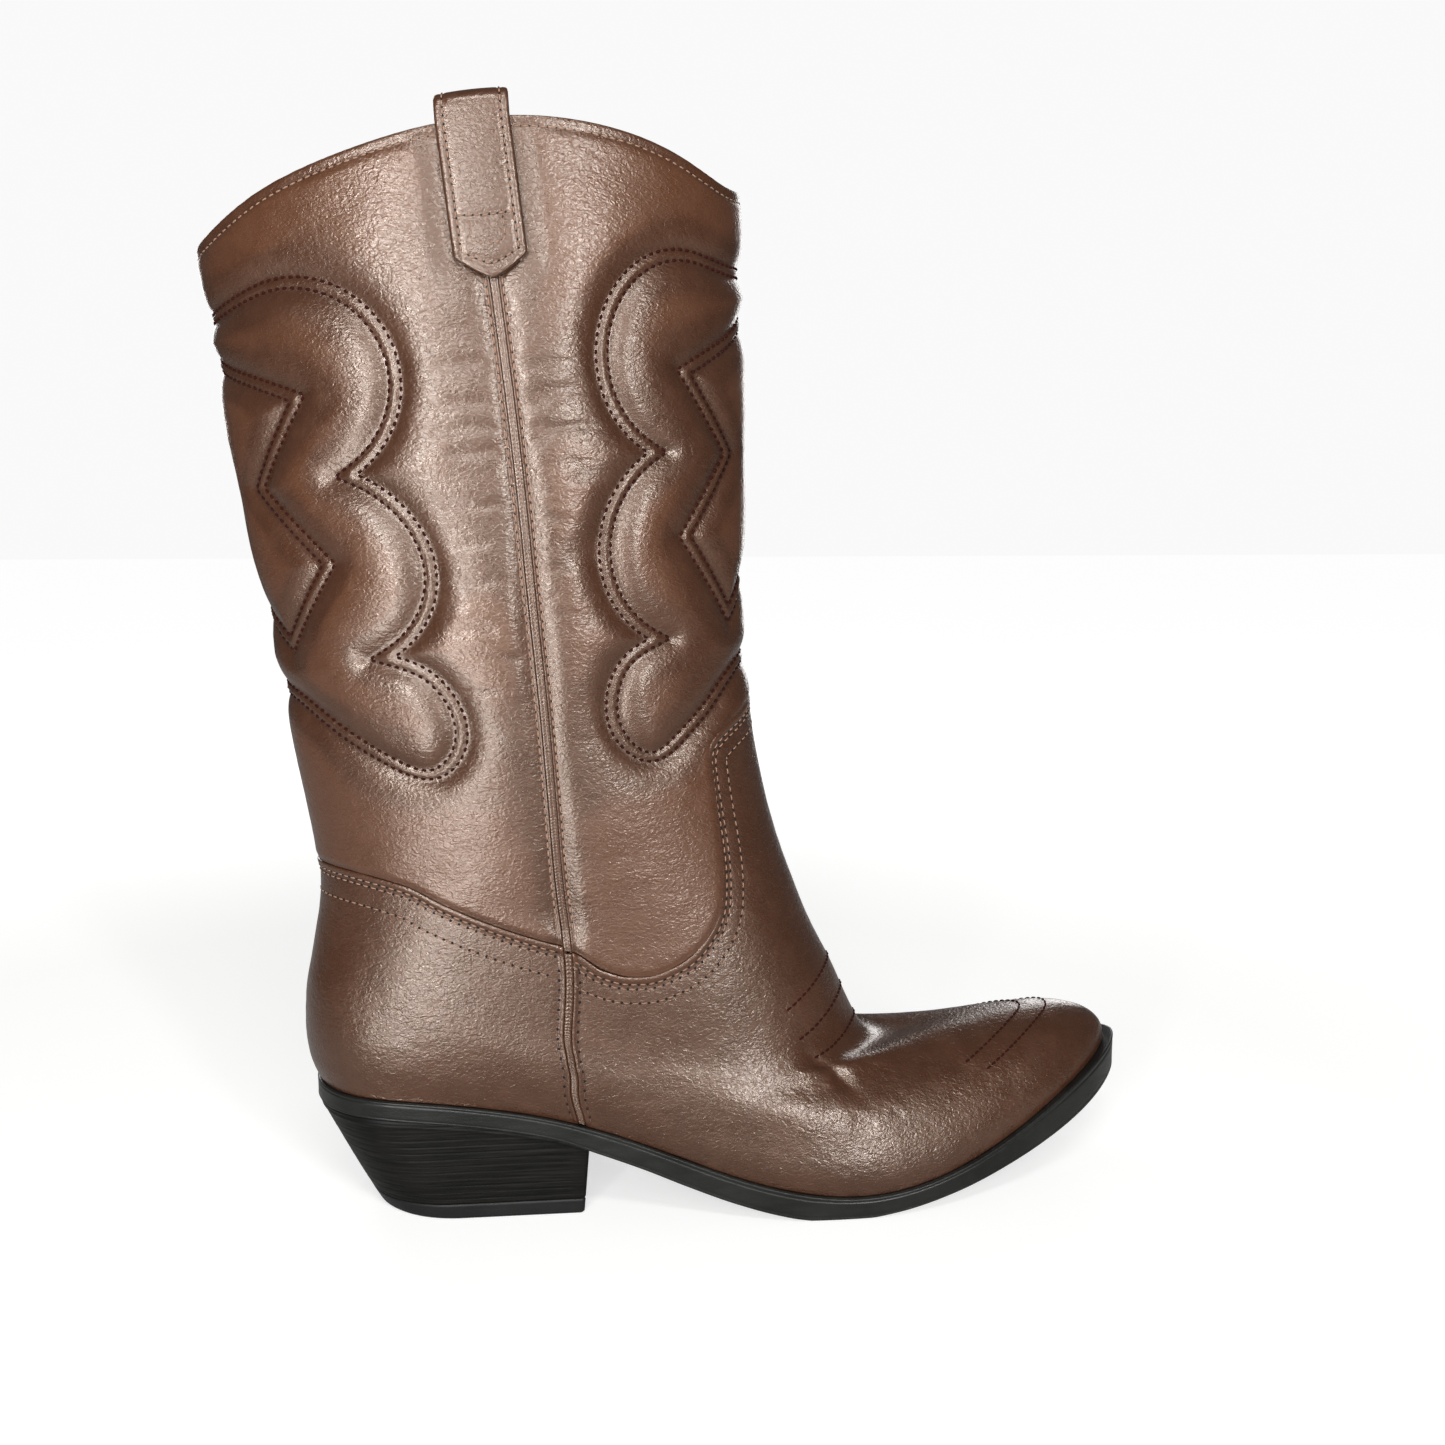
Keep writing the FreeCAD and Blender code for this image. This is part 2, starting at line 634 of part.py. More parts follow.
def band(name, low, high, stations=STATIONS):
    """Side profile between two curves of x, extruded across the boot."""
    sketch = doc.addObject("Sketcher::SketchObject", name + "_profile")
    upper = [V(x, high(x), 0) for x in stations]
    lower = [V(x, low(x), 0) for x in stations]
    sketch.addGeometry(interpolated(upper), False)
    sketch.addGeometry(interpolated(lower), False)
    for end in (0, -1):
        sketch.addGeometry(Part.LineSegment(upper[end], lower[end]), False)
    sketch.Placement = FreeCAD.Placement(V(0, 0, 0), FreeCAD.Rotation(V(1, 0, 0), 90))
    sketch.Visibility = False
    result = extrusion(name, sketch, V(0, 1, 0))
    result.setExpression("LengthFwd", "Dims.half_depth")
    result.setExpression("LengthRev", "Dims.half_depth")
    return result


def feather_band(name, low, high):
    """Band between two driving dimensions measured up from the feather plane."""
    return band(name, lambda x: feather_z(x) + dim(low), lambda x: feather_z(x) + dim(high))


def span_box(name, x, length, width):
    box = doc.addObject("Part::Box", name)
    box.Length, box.Width, box.Height = length, width, SPAN_HEIGHT
    box.Placement = FreeCAD.Placement(V(x, -width / 2, SPAN_LOW), FreeCAD.Rotation())
    return box


def common(name, shapes):
    result = doc.addObject("Part::MultiCommon", name)
    result.Shapes = shapes
    return result


def cut(name, base, tool):
    result = doc.addObject("Part::Cut", name)
    result.Base, result.Tool = base, tool
    return result


def fuse(name, shapes):
    result = doc.addObject("Part::MultiFuse", name)
    result.Shapes = shapes
    return result


# ---------------------------------------------------------------- fasteners
SCREW_X = -8.0
NAILS = [(-42.0, 0.0), (-34.0, -16.0), (-34.0, 16.0), (-12.0, -20.0), (-12.0, 20.0),
         (12.0, -20.0), (12.0, 19.0)]
PINS = [(-22.0, 0.0), (-8.0, -16.0), (-8.0, 16.0), (20.0, -17.0), (20.0, 17.0)]
RIVETS = [(42.0, 0.0), (70.0, 0.0)]
HEAD_SINK = 0.9  # screw and nail tops lie this far below the insole board's top
PIN_BASE = 1.2  # height of the pins' lower ends over the floor
RIVET_BASE = 1.05  # height of the rivets' lower ends over the feather plane
END_GAP = 0.1  # room under a nail, pin or rivet
TIP_LEN, TIP_GAP = 4.0, 0.2  # screw point, and the room under it


def driven_top(x):
    return feather_z(x) + dim("insole_top") - HEAD_SINK


def rod(name, x, y, z, radius, height):
    """Upright cylinder; radius and height are expressions."""
    result = doc.addObject("Part::Cylinder", name)
    result.setExpression("Radius", radius)
    result.setExpression("Height", height)
    result.Placement = FreeCAD.Placement(V(x, y, z), FreeCAD.Rotation())
    return result


def screw_and_tool():
    under_head = driven_top(SCREW_X) - dim("screw_head")
    end = under_head - dim("screw_len")
    shank = rod("screw_shank", SCREW_X, 0, end, "Dims.screw_r", "Dims.screw_len")
    cap = rod("screw_cap", SCREW_X, 0, under_head, "Dims.screw_head_r", "Dims.screw_head")
    tip = doc.addObject("Part::Cone", "screw_tip")
    tip.Radius1 = 0.3
    tip.setExpression("Radius2", "Dims.screw_r")
    tip.Height = TIP_LEN
    tip.Placement = FreeCAD.Placement(V(SCREW_X, 0, end - TIP_LEN), FreeCAD.Rotation())
    shank_hole = rod("st1", SCREW_X, 0, end - TIP_LEN - TIP_GAP,
                     "Dims.screw_r + Dims.fit_gap", "Dims.screw_len + 4.4")
    head_hole = rod("st2", SCREW_X, 0, under_head - dim("fit_gap"),
                    "Dims.screw_head_r + Dims.fit_gap", "Dims.screw_head + 4")
    return fuse("heel_screw", [shank, cap, tip]), fuse("screw_tool", [shank_hole, head_hole])


def rods_and_tool(label, kind, places, base_z, extra):
    """Rods of one kind as a compound, and their holes, extra mm longer, as one tool."""
    radius, length = "Dims.%s_r" % kind, "Dims.%s_len" % kind
    rods, holes = [], []
    for i, (x, y) in enumerate(places):
        z = base_z(x)
        rods.append(rod("%s%d" % (kind, i), x, y, z, radius, length))
        holes.append(rod("%st%d" % (kind[0], i), x, y, z - END_GAP,
                         radius + " + Dims.fit_gap", "%s + %g" % (length, extra)))
    compound = doc.addObject("Part::Compound", label)
    compound.Links = rods
    return compound, fuse(kind + "_tool", holes)


# ---------------------------------------------------------------- bottom of the boot
def sole_edge(half):
    """How far the sole stands out past the upper: most at the toe."""
    return 0.9 + 0.8 * min(1, half / 0.3) + 2.4 * max(0, (half - 0.6) / 0.4) ** 1.5


def outsole(tools):
    stations = sorted(STATIONS + [105, 115, 125])
    solid = common("sole_solid", [
        prism("sole", plan(sole_edge), 0, 70),
        band("sole_band", sole_z, lambda x: feather_z(x) - GAP, stations)])
    return cut("outsole", solid, tools)


def insole_board(tools):
    solid = common("board_solid", [prism("board", inset_plan(4.3, 5.5)),
                                   feather_band("board_band", "insole_low", "insole_top")])
    return cut("insole_board", solid, tools)


def sock_lining():
    return common("sock_lining", [prism("sock", inset_plan(4.5, 7.0)),
                                  feather_band("sock_band", "sock_low", "sock_top")])


def bottom_filler():
    """Cork under the forefoot, 9 mm inside the feather line."""
    inset = 9.0
    lateral, medial = [], []
    for x in range(92, 187, 8):
        half = math.acos(1 - 2 * (x - BOTTOM_BACK[0]) / BOTTOM_LENGTH) / math.pi
        lateral.append(surf(half, 0.0))
        medial.append(surf(2 - half, 0.0))
    points = [V(point.x, point.y + inset, 0) for point in lateral]
    points += [V(point.x, point.y - inset, 0) for point in reversed(medial)]
    return common("bottom_filler", [prism("filler", points),
                                    feather_band("filler_band", "filler_low", "filler_top"),
                                    span_box("filler_span", 88, 108, 120)])


def shank(tools):
    """Steel strip under the waist, with rounded corners in plan."""
    box = span_box("shank_span", -6, 92, dim("shank_width"))
    box.setExpression("Width", "Dims.shank_width")
    ends = doc.addObject("Part::Fillet", "shank_ends")
    ends.Base = box
    doc.recompute()
    upright = [i for i, edge in enumerate(box.Shape.Edges, 1)
               if abs(edge.Vertexes[0].Z - edge.Vertexes[-1].Z) > 80]
    ends.Edges = [(i, 5.5, 5.5) for i in upright]
    solid = common("shank_solid", [ends, feather_band("shank_band", "shank_low", "shank_top")])
    return cut("shank", solid, tools)


# ---------------------------------------------------------------- heel
def heel_section(sketch, z):
    """Plan section: round underslung back, breast slightly hollow, narrower at the floor."""
    back_x = -39.0 - 19.4 * (z / 37.0) ** 0.93
    breast_x = 30.2 + 3.2 * z / 40.0
    half_width = 27.5 + 2.9 * z / 40.0
    depth = 30.0  # of the rounded back
    points = []
    for k in range(13):
        angle = math.pi * k / 12
        x = back_x + depth - depth * max(math.sin(angle), 0.0) ** 0.94
        points.append(V(x, half_width * math.cos(angle), 0))
    right, left = V(breast_x, -half_width, 0), V(breast_x, half_width, 0)
    sketch.addGeometry(interpolated(points), False)
    sketch.addGeometry(Part.LineSegment(points[-1], right), False)
    sketch.addGeometry(Part.Arc(right, V(breast_x - 1.6, 0, 0), left), False)
    sketch.addGeometry(Part.LineSegment(left, points[0]), False)


def heel_sketch(name, z, expression):
    sketch = doc.addObject("Sketcher::SketchObject", name)
    heel_section(sketch, z)
    sketch.setExpression("Placement.Base.z", expression)
    sketch.Visibility = False
    return sketch


def heel_block(tools):
    """Lofted past its seat, then cut to the underside of the sole."""
    loft = doc.addObject("Part::Loft", "heel_loft")
    loft.Sections = [
        heel_sketch("heel_sec_low", dim("lift_thk") + 0.05, "Dims.lift_thk + 0.05"),
        heel_sketch("heel_sec_mid", dim("heel_waist"), "Dims.heel_waist"),
        heel_sketch("heel_sec_high", dim("heel_head"), "Dims.heel_head")]
    loft.Solid = True
    cap = band("heel_seat_cap", lambda x: sole_z(x) - GAP, lambda x: sole_z(x) + 40.0,
               [x for x in STATIONS if x <= 40])
    return cut("heel_block", cut("heel_shaped", loft, cap), tools)


def lift_section(body, name, z):
    sketch = body.newObject("Sketcher::SketchObject", name)
    floor = [plane for plane in body.Origin.OriginFeatures if plane.Role == "XY_Plane"][0]
    sketch.AttachmentSupport = [(floor, "")]
    sketch.MapMode = "FlatFace"
    heel_section(sketch, z)
    return sketch


def heel_top_lift(tools):
    body = doc.addObject("PartDesign::Body", "lift_body")
    low = lift_section(body, "lift_sec_low", 0.0)
    high = lift_section(body, "lift_sec_high", dim("lift_thk"))
    high.setExpression("AttachmentOffset.Base.z", "Dims.lift_thk")
    doc.recompute()
    loft = body.newObject("PartDesign::AdditiveLoft", "lift_loft")
    loft.Profile = low
    loft.Sections = [high]
    body.Tip = loft
    doc.recompute()
    return cut("heel_top_lift", body, tools)


# ---------------------------------------------------------------- build
pieces = leather_pieces()
pieces += [inner_layer(*entry) for entry in INNER_LAYERS]
pieces += [stiffener(*entry) for entry in STIFFENERS]
for side, side_name in ((LATERAL, "lateral"), (MEDIAL, "medial")):
    pieces.append(piping(side_name + "_shaft_piping", side, 0.302, 0.998))
    pieces.append(piping(side_name + "_foot_piping", side, 0.004, 0.294))
    pieces.append(pull_strap(side_name + "_pull_strap", side))

screw, screw_tool = screw_and_tool()
nails, nail_tool = rods_and_tool("heel_nails", "nail", NAILS,
                                 lambda x: driven_top(x) - dim("nail_len"), 4)
pins, pin_tool = rods_and_tool("top_lift_pins", "pin", PINS, lambda x: PIN_BASE, 2 * END_GAP)
rivets, rivet_tool = rods_and_tool("shank_rivets", "rivet", RIVETS,
                                   lambda x: feather_z(x) + RIVET_BASE, 2.5)
pieces += [
    screw, nails, pins, rivets,
    outsole(fuse("seat_tools", [screw_tool, nail_tool])),
    insole_board(fuse("board_tools", [screw_tool, nail_tool, rivet_tool])),
    sock_lining(),
    bottom_filler(),
    shank(fuse("shank_tools", [screw_tool, rivet_tool])),
    heel_block(fuse("heel_tools", [screw_tool, nail_tool, pin_tool])),
    heel_top_lift(pin_tool),
]

# ---------------------------------------------------------------- check and write
doc.recompute()
bad = []
for item in doc.Objects:
    if any(state in ("Invalid", "Error") for state in item.State):
        bad.append("%s: %s" % (item.Name, item.State))
for piece in pieces:
    shape = piece.Shape
    if shape.isNull() or not shape.isValid() or not shape.Solids:
        bad.append("%s: bad shape" % piece.Label)
if bad:
    for line in bad:
        print("BAD", line)
    raise SystemExit(1)
for piece in pieces:
    piece.Shape.exportStep("parts/%s.step" % piece.Label)
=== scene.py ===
# A pull-on western boot: leather foot and quilted shaft, piping, pull straps, sole and heel.
# Origin on the floor under the heel, +X to the toe, +Z up, -Y the outer (lateral) side.
# Lengths are millimetres until a mesh is written; materials, lights and joints are in metres.
import math

import bmesh
import bpy
import numpy as np
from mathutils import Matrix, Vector
from mathutils.kdtree import KDTree


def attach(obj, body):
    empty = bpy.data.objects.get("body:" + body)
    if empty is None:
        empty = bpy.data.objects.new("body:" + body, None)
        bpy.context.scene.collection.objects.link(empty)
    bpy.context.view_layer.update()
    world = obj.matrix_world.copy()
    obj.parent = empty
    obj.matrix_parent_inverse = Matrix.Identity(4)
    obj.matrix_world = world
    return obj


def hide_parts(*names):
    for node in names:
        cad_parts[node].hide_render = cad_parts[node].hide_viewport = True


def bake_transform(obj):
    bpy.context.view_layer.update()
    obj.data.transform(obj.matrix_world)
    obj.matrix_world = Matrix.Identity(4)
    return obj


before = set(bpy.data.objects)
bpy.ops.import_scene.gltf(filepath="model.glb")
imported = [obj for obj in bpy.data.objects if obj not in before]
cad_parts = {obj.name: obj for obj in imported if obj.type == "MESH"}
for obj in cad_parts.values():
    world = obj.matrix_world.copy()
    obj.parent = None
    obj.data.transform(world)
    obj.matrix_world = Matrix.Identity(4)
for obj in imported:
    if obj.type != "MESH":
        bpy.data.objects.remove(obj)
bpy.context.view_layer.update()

MM = 0.001
np.seterr(all="ignore")


# ------------------------------------------------------------------ curves and noise
def spline(xs, ys):
    """Natural cubic spline, straight beyond its ends."""
    xs, ys = np.asarray(xs, float), np.asarray(ys, float)
    count = len(xs)
    gap = np.diff(xs)
    slope = np.diff(ys) / gap
    matrix, right = np.zeros((count, count)), np.zeros(count)
    matrix[0, 0] = matrix[-1, -1] = 1
    for i in range(1, count - 1):
        matrix[i, i - 1:i + 2] = gap[i - 1], 2 * (gap[i - 1] + gap[i]), gap[i]
        right[i] = 6 * (slope[i] - slope[i - 1])
    bend = np.linalg.solve(matrix, right)
    first = slope[0] - gap[0] * (2 * bend[0] + bend[1]) / 6
    last = slope[-1] + gap[-1] * (bend[-2] + 2 * bend[-1]) / 6

    def curve(x):
        x = np.asarray(x, float)
        k = np.clip(np.searchsorted(xs, x, side="right") - 1, 0, count - 2)
        after, before, width = x - xs[k], xs[k + 1] - x, gap[k]
        y = (
            (bend[k] * before ** 3 + bend[k + 1] * after ** 3) / (6 * width)
            + (ys[k] / width - bend[k] * width / 6) * before
            + (ys[k + 1] / width - bend[k + 1] * width / 6) * after
        )
        y = np.where(x < xs[0], ys[0] + first * (x - xs[0]), y)
        return np.where(x > xs[-1], ys[-1] + last * (x - xs[-1]), y)

    return curve


def spline_even(xs, ys):
    """Spline that starts at x = 0 and is mirrored at both ends."""
    xs, ys = list(xs), list(ys)
    after = [2 * xs[-1] - xs[-2], 2 * xs[-1] - xs[-3]]
    return spline([-xs[2], -xs[1]] + xs + after, [ys[2], ys[1]] + ys + [ys[-2], ys[-3]])


def pchip(xs, ys):
    """Cubic through the points that never overshoots, level beyond its ends."""
    xs, ys = np.asarray(xs, float), np.asarray(ys, float)
    count = len(xs)
    gap = np.diff(xs)
    slope = np.diff(ys) / gap
    tangent = np.concatenate([[slope[0]], np.zeros(count - 2), [slope[-1]]])
    for i in range(1, count - 1):
        if slope[i - 1] * slope[i] > 0:
            before, after = 2 * gap[i] + gap[i - 1], gap[i] + 2 * gap[i - 1]
            tangent[i] = (before + after) / (before / slope[i - 1] + after / slope[i])

    def curve(x):
        x = np.clip(np.asarray(x, float), xs[0], xs[-1])
        k = np.clip(np.searchsorted(xs, x, side="right") - 1, 0, count - 2)
        t = (x - xs[k]) / gap[k]
        return (
            ys[k] * (1 + 2 * t) * (1 - t) ** 2
            + gap[k] * tangent[k] * t * (1 - t) ** 2
            + ys[k + 1] * t * t * (3 - 2 * t)
            + gap[k] * tangent[k + 1] * t * t * (t - 1)
        )

    return curve


def lerp(start, end, share):
    return start + (end - start) * share


def smooth(low, high, x):
    """0 at low, 1 at high, level at both."""
    t = np.clip((np.asarray(x, float) - low) / (high - low), 0, 1)
    return t * t * (3 - 2 * t)


def bump(x, centre, width):
    return np.exp(-((x - centre) / width) ** 2)


def unit(vectors):
    return vectors / np.linalg.norm(vectors, axis=-1, keepdims=True)


HASH_AXES = np.array([374761393, 668265263, 2147483629])
HASH_SEED = 1274126177
HASH_MASK = 0xFFFFFFFF


def noise3(points, size, seed=0):
    """Smooth value noise, -1 to 1, of points in mm."""
    place = np.asarray(points, float) / size + 1000.0
    cell = np.floor(place).astype(np.int64)
    f = place - cell
    weight = f * f * f * (f * (f * 6 - 15) + 10)
    total = 0
    for corner in np.ndindex(2, 2, 2):
        n = (((cell + corner) * HASH_AXES).sum(-1) + seed * HASH_SEED) & HASH_MASK
        n = ((n ^ (n >> 13)) * HASH_SEED) & HASH_MASK
        n = ((n ^ (n >> 16)) & 0xFFFF) / 32767.5 - 1
        share = np.where(corner, weight, 1 - weight)
        total = total + n * share[..., 0] * share[..., 1] * share[..., 2]
    return total


def layered_noise(points, seed, *layers):
    """Sum of noises; each layer is (amplitude, size, squeeze along z)."""
    total = 0
    for k, (amplitude, size, squeeze) in enumerate(layers):
        total = total + amplitude * noise3(points * (1, 1, squeeze), size, seed + k)
    return total


def run_length(points, power=1.0):
    """Length from the first point to each point of a polyline."""
    steps = np.linalg.norm(np.diff(points, axis=0), axis=-1)
    return np.concatenate([[0], np.cumsum(steps ** power)])


def dense(points, step=0.3):
    """Polyline resampled every step mm."""
    length = run_length(points)
    steps = np.linspace(0, length[-1], max(2, int(length[-1] / step) + 1))
    return np.stack([np.interp(steps, length, column) for column in points.T], -1)


def through(points, count, scale=1.0, power=1.0):
    """The two columns of a smooth curve through the points, at count places."""
    points = np.array(points, float)
    length = run_length(points * scale, power)
    steps = np.linspace(0, length[-1], count)
    return [spline(length, column)(steps) for column in points.T]


# ------------------------------------------------------------------ outer surface of the upper
# A place on the upper is (s, v). s goes round: 0 heel, 0..1 lateral, 1 toe or shin, 1..2 medial.
# v goes up: 0 at the feather line (the lower edge of the upper), 1 at the rim.
# u is the distance of s from the heel, 0 to 1, on either side.
U = np.array([0, 0.125, 0.25, 0.375, 0.5, 0.625, 0.75, 0.875, 1.0])
# v, back (x, z), front (x, z), bow (+ follows ARCH, - follows SAG), half widths at U on the
# lateral side, and on the medial side where they differ
STATIONS = [
    (0.00, (-57.5, 42.5), (219.0, 41.5), -33, [62, 58, 42.4, 34.6, 37.5, 44.0, 44.5, 44, 40],
     [62, 58, 42.0, 33.2, 33.8, 43.5, 42.5, 41, 40]),
    (0.03, (-59.6, 47.5), (218.0, 46.0), -31, [62, 58, 43.6, 35.8, 38.2, 44.4, 44.0, 42, 38],
     [62, 58, 43.2, 34.4, 34.8, 44.0, 42.0, 40, 38]),
    (0.07, (-61.0, 53.5), (211, 51.8), -27, [61, 58, 44.5, 36.9, 37.4, 42.0, 41.0, 38, 34],
     [61, 58, 44.5, 35.9, 35.0, 41.4, 39.5, 36.5, 34]),
    (0.11, (-61.6, 60.5), (196, 54.8), -22.5, [60, 57, 44.5, 37.2, 36.2, 39.4, 35.5, 30, 27],
     [60, 57, 44.5, 36.6, 34.6, 38.6, 34.6, 29.5, 27]),
    (0.15, (-61.4, 67.5), (172, 53.5), -17, [57, 54, 43.5, 37.0, 35.0, 36.8, 30.5, 23, 20],
     [57, 54, 43.5, 36.6, 34.2, 36.2, 30.0, 23, 20]),
    (0.19, (-60.6, 75.5), (148, 49.8), -11, [52, 50, 42.0, 36.4, 34.0, 36.3, 36.0, 25, 20],
     [52, 50, 42.0, 36.2, 33.6, 36.0, 35.6, 25, 20]),
    (0.23, (-59.0, 83.5), (130.5, 50.0), -5, [47, 46, 40.5, 35.6, 33.4, 34.9, 38.6, 33, 26],
     [47, 46, 40.5, 35.6, 33.2, 34.7, 38.2, 33, 26]),
    (0.27, (-57.3, 92.5), (120, 68.5), -2, [42, 41, 38.5, 34.8, 33.0, 33.8, 37.6, 38, 32],
     [42, 41, 38.5, 34.8, 33.0, 33.8, 37.4, 38, 32]),
    (0.31, (-55.8, 101.5), (110, 88.5), 0, [38, 37.5, 36.5, 34.4, 33.0, 33.4, 35.8, 36.5, 34]),
    (0.36, (-55.2, 112.5), (101, 110.5), 0, [35, 35, 35.0, 34.4, 33.7, 33.8, 34.8, 35.2, 34]),
    (0.42, (-56.4, 126.5), (94.3, 132.5), 0, [34, 34, 34.8, 35.0, 35.0, 34.8, 34.6, 34, 34]),
    (0.50, (-60.2, 149.5), (88.8, 158.5), 0, [34, 34.5, 36, 36.6, 36.8, 36.6, 36.0, 35, 34.5]),
    (0.60, (-66.0, 183.5), (86.0, 192.5), 0, [35, 35.5, 37.6, 38.4, 38.6, 38.4, 37.6, 36, 35.5]),
    (0.70, (-71.6, 218.5), (85.5, 230.5), 0, [36, 36.5, 38.8, 39.6, 39.8, 39.6, 38.8, 37, 36.5]),
    (0.80, (-77.0, 252.5), (85.4, 265.5), 4, [36, 37, 39.2, 40.2, 40.4, 40.2, 39.2, 37.5, 36.5]),
    (0.90, (-81.8, 283.5), (85.2, 299.5), 12, [36, 37, 39.2, 40.2, 40.4, 40.2, 39.2, 37.5, 36.5]),
    (1.00, (-84.8, 309.5), (84.0, 330.1), 24, [36, 37, 39, 39.9, 40.0, 39.8, 39, 37.5, 36.5]),
]
ARCH = np.array([0, 0.11, 0.45, 0.74, 0.92, 0.81, 0.44, 0.03, 0])
# heights along x of the feather line and of the underside of the sole
FEATHER_Z = spline(
    [-60, -40, -20, 0, 20, 40, 60, 80, 100, 120, 140, 160, 180, 200, 212, 221],
    [43.1, 42.5, 41.1, 38.6, 34.9, 29.2, 21.9, 14.5, 9.3, 7.1, 9.0, 14.6, 23.1, 33.1, 38.5, 42.1])
SOLE_Z = pchip(
    [-60, -40, -20, 0, 20, 35, 50, 64, 79, 93, 101, 108,
     114, 121, 133, 154, 177, 196, 211, 221, 228],
    [36.5, 35.9, 34.5, 32.1, 28.3, 23.0, 17.4, 11.6, 6.0, 2.0, 0.4, -0.3,
     -0.4, -0.25, 1.0, 5.1, 11.9, 19.0, 25.5, 30.5, 34.5])
HALF_ROUND = 800  # grid columns from heel to toe on one side
AROUND = 2 * HALF_ROUND
GRID_ROWS, V_LOW, V_HIGH = 861, -0.03, 1.045
V_MM = 405.0  # mm up the boot for one unit of v


def heel_to_toe(u):
    """Share of the way from the back to the front of a row."""
    return (1 - np.cos(np.pi * np.asarray(u, float))) / 2


def centre_y(x):
    """The toe swings to the medial side."""
    ahead = (np.asarray(x, float) - 90) / 130.0
    return np.where(ahead > 0, 12.0 * np.maximum(ahead, 0) ** 1.7, 0.0)


def lowest_row_sag():
    _, (back_x, back_z), (front_x, front_z), bow = STATIONS[0][:4]
    share = heel_to_toe(U)
    feather = FEATHER_Z(lerp(back_x, front_x, share))
    sag = (lerp(back_z, front_z, share) - feather) / -bow
    sag[0] = sag[-1] = 0.0
    return sag


def build_surface():
    """Grids of points, normals and lengths round each row."""
    vs = np.linspace(V_LOW, V_HIGH, GRID_ROWS)
    sag = lowest_row_sag()

    def up_rows(values):
        return spline([station[0] for station in STATIONS], values)(vs)

    back_x, back_z = (up_rows([station[1][k] for station in STATIONS]) for k in (0, 1))
    front_x, front_z = (up_rows([station[2][k] for station in STATIONS]) for k in (0, 1))
    heights, lateral, medial = [], [], []
    for j, share in enumerate(heel_to_toe(U)):
        heights.append(up_rows([
            lerp(back[1], front[1], share) + bow * (ARCH if bow > 0 else sag)[j]
            for _, back, front, bow, *_ in STATIONS]))
        lateral.append(up_rows([station[4][j] for station in STATIONS]))
        medial.append(up_rows([station[-1][j] for station in STATIONS]))
    heights, lateral, medial = np.array(heights), np.array(lateral), np.array(medial)

    def row_xz(i, u):
        share = heel_to_toe(u)
        bow = heights[:, i] - lerp(back_z[i], front_z[i], heel_to_toe(U))
        z = lerp(back_z[i], front_z[i], share) + spline_even(U, bow)(u)
        return lerp(back_x[i], front_x[i], share), z

    # brings the row v = 0 level with the feather line
    u = np.linspace(0, 1, HALF_ROUND + 1)
    coarse = np.linspace(0, 1, 25)
    x, z = row_xz(int(np.argmin(abs(vs))), coarse)
    level = spline_even(coarse, FEATHER_Z(x) - z)(u)
    level_top = 0.16

    points = np.zeros((GRID_ROWS, AROUND, 3))
    swell = np.sin(np.pi * u)
    for i, v in enumerate(vs):
        x, z = row_xz(i, u)
        if v < level_top:
            z = z + (1 - max(v, 0) / level_top) ** 2 * level
        y = centre_y(x)
        outer = y - spline_even(U, lateral[:, i])(u) * swell
        inner = y + spline_even(U, medial[:, i])(u) * swell
        points[i, :HALF_ROUND + 1] = np.stack([x, outer, z], -1)
        points[i, HALF_ROUND:] = np.stack([x, inner, z], -1)[::-1][:HALF_ROUND]

    # normals, level at the feather line
    around = np.roll(points, -2, axis=1) - np.roll(points, 2, axis=1)
    normals = unit(np.cross(around, np.gradient(points, axis=0)))
    normals[..., 2] *= smooth(0, 0.05, vs)[:, None]
    steps = np.linalg.norm(np.roll(points, -1, axis=1) - points, axis=-1)
    lengths = np.concatenate([np.zeros((GRID_ROWS, 1)), np.cumsum(steps, axis=1)], axis=1)
    return points, unit(normals), lengths


GRID_POINTS, GRID_NORMALS, GRID_LENGTHS = build_surface()


def surface(s, v, depth=0.0):
    """Points depth mm under the outer surface, and the normals there."""
    s, v, depth = np.broadcast_arrays(s, v, depth)
    column = (s % 2.0) * HALF_ROUND
    left = np.floor(column).astype(int)
    across = (column - left)[..., None]
    left = left % AROUND
    right = (left + 1) % AROUND
    row = (np.clip(v, V_LOW, V_HIGH) - V_LOW) / (V_HIGH - V_LOW) * (GRID_ROWS - 1)
    low = np.clip(np.floor(row).astype(int), 0, GRID_ROWS - 2)
    up = (row - low)[..., None]

    def blend(grid):
        below = grid[low, left] * (1 - across) + grid[low, right] * across
        above = grid[low + 1, left] * (1 - across) + grid[low + 1, right] * across
        return below * (1 - up) + above * up

    normals = unit(blend(GRID_NORMALS))
    return blend(GRID_POINTS) - normals * depth[..., None], normals


def at(s, v, depth=0.0):
    return surface(s, v, depth)[0]


PROBE = 2.5e-3  # step in s or v for measuring the surface


def per_mm(s, v):
    """Change of s for one mm round the boot."""
    return 2 * PROBE / np.linalg.norm(at(s + PROBE, v) - at(s - PROBE, v), axis=-1)


def half_u(s):
    s = np.asarray(s, float) % 2.0
    return np.where(s <= 1, s, 2 - s)


def on_side(s, side):
    """Mirrors a lateral s to the medial side when side is 1; -1 keeps it."""
    return s if side < 0 else 2 - s


# side seam: v, then s on the lateral side
SEAM = spline(
    [0.0, 0.016, 0.068, 0.1, 0.136, 0.18, 0.23, 0.28,
     0.31, 0.366, 0.45, 0.543, 0.63, 0.783, 0.883, 1.0],
    [0.380, 0.381, 0.386, 0.396, 0.413, 0.440, 0.466, 0.486,
     0.4945, 0.505, 0.521, 0.533, 0.5345, 0.530, 0.5215, 0.5105])
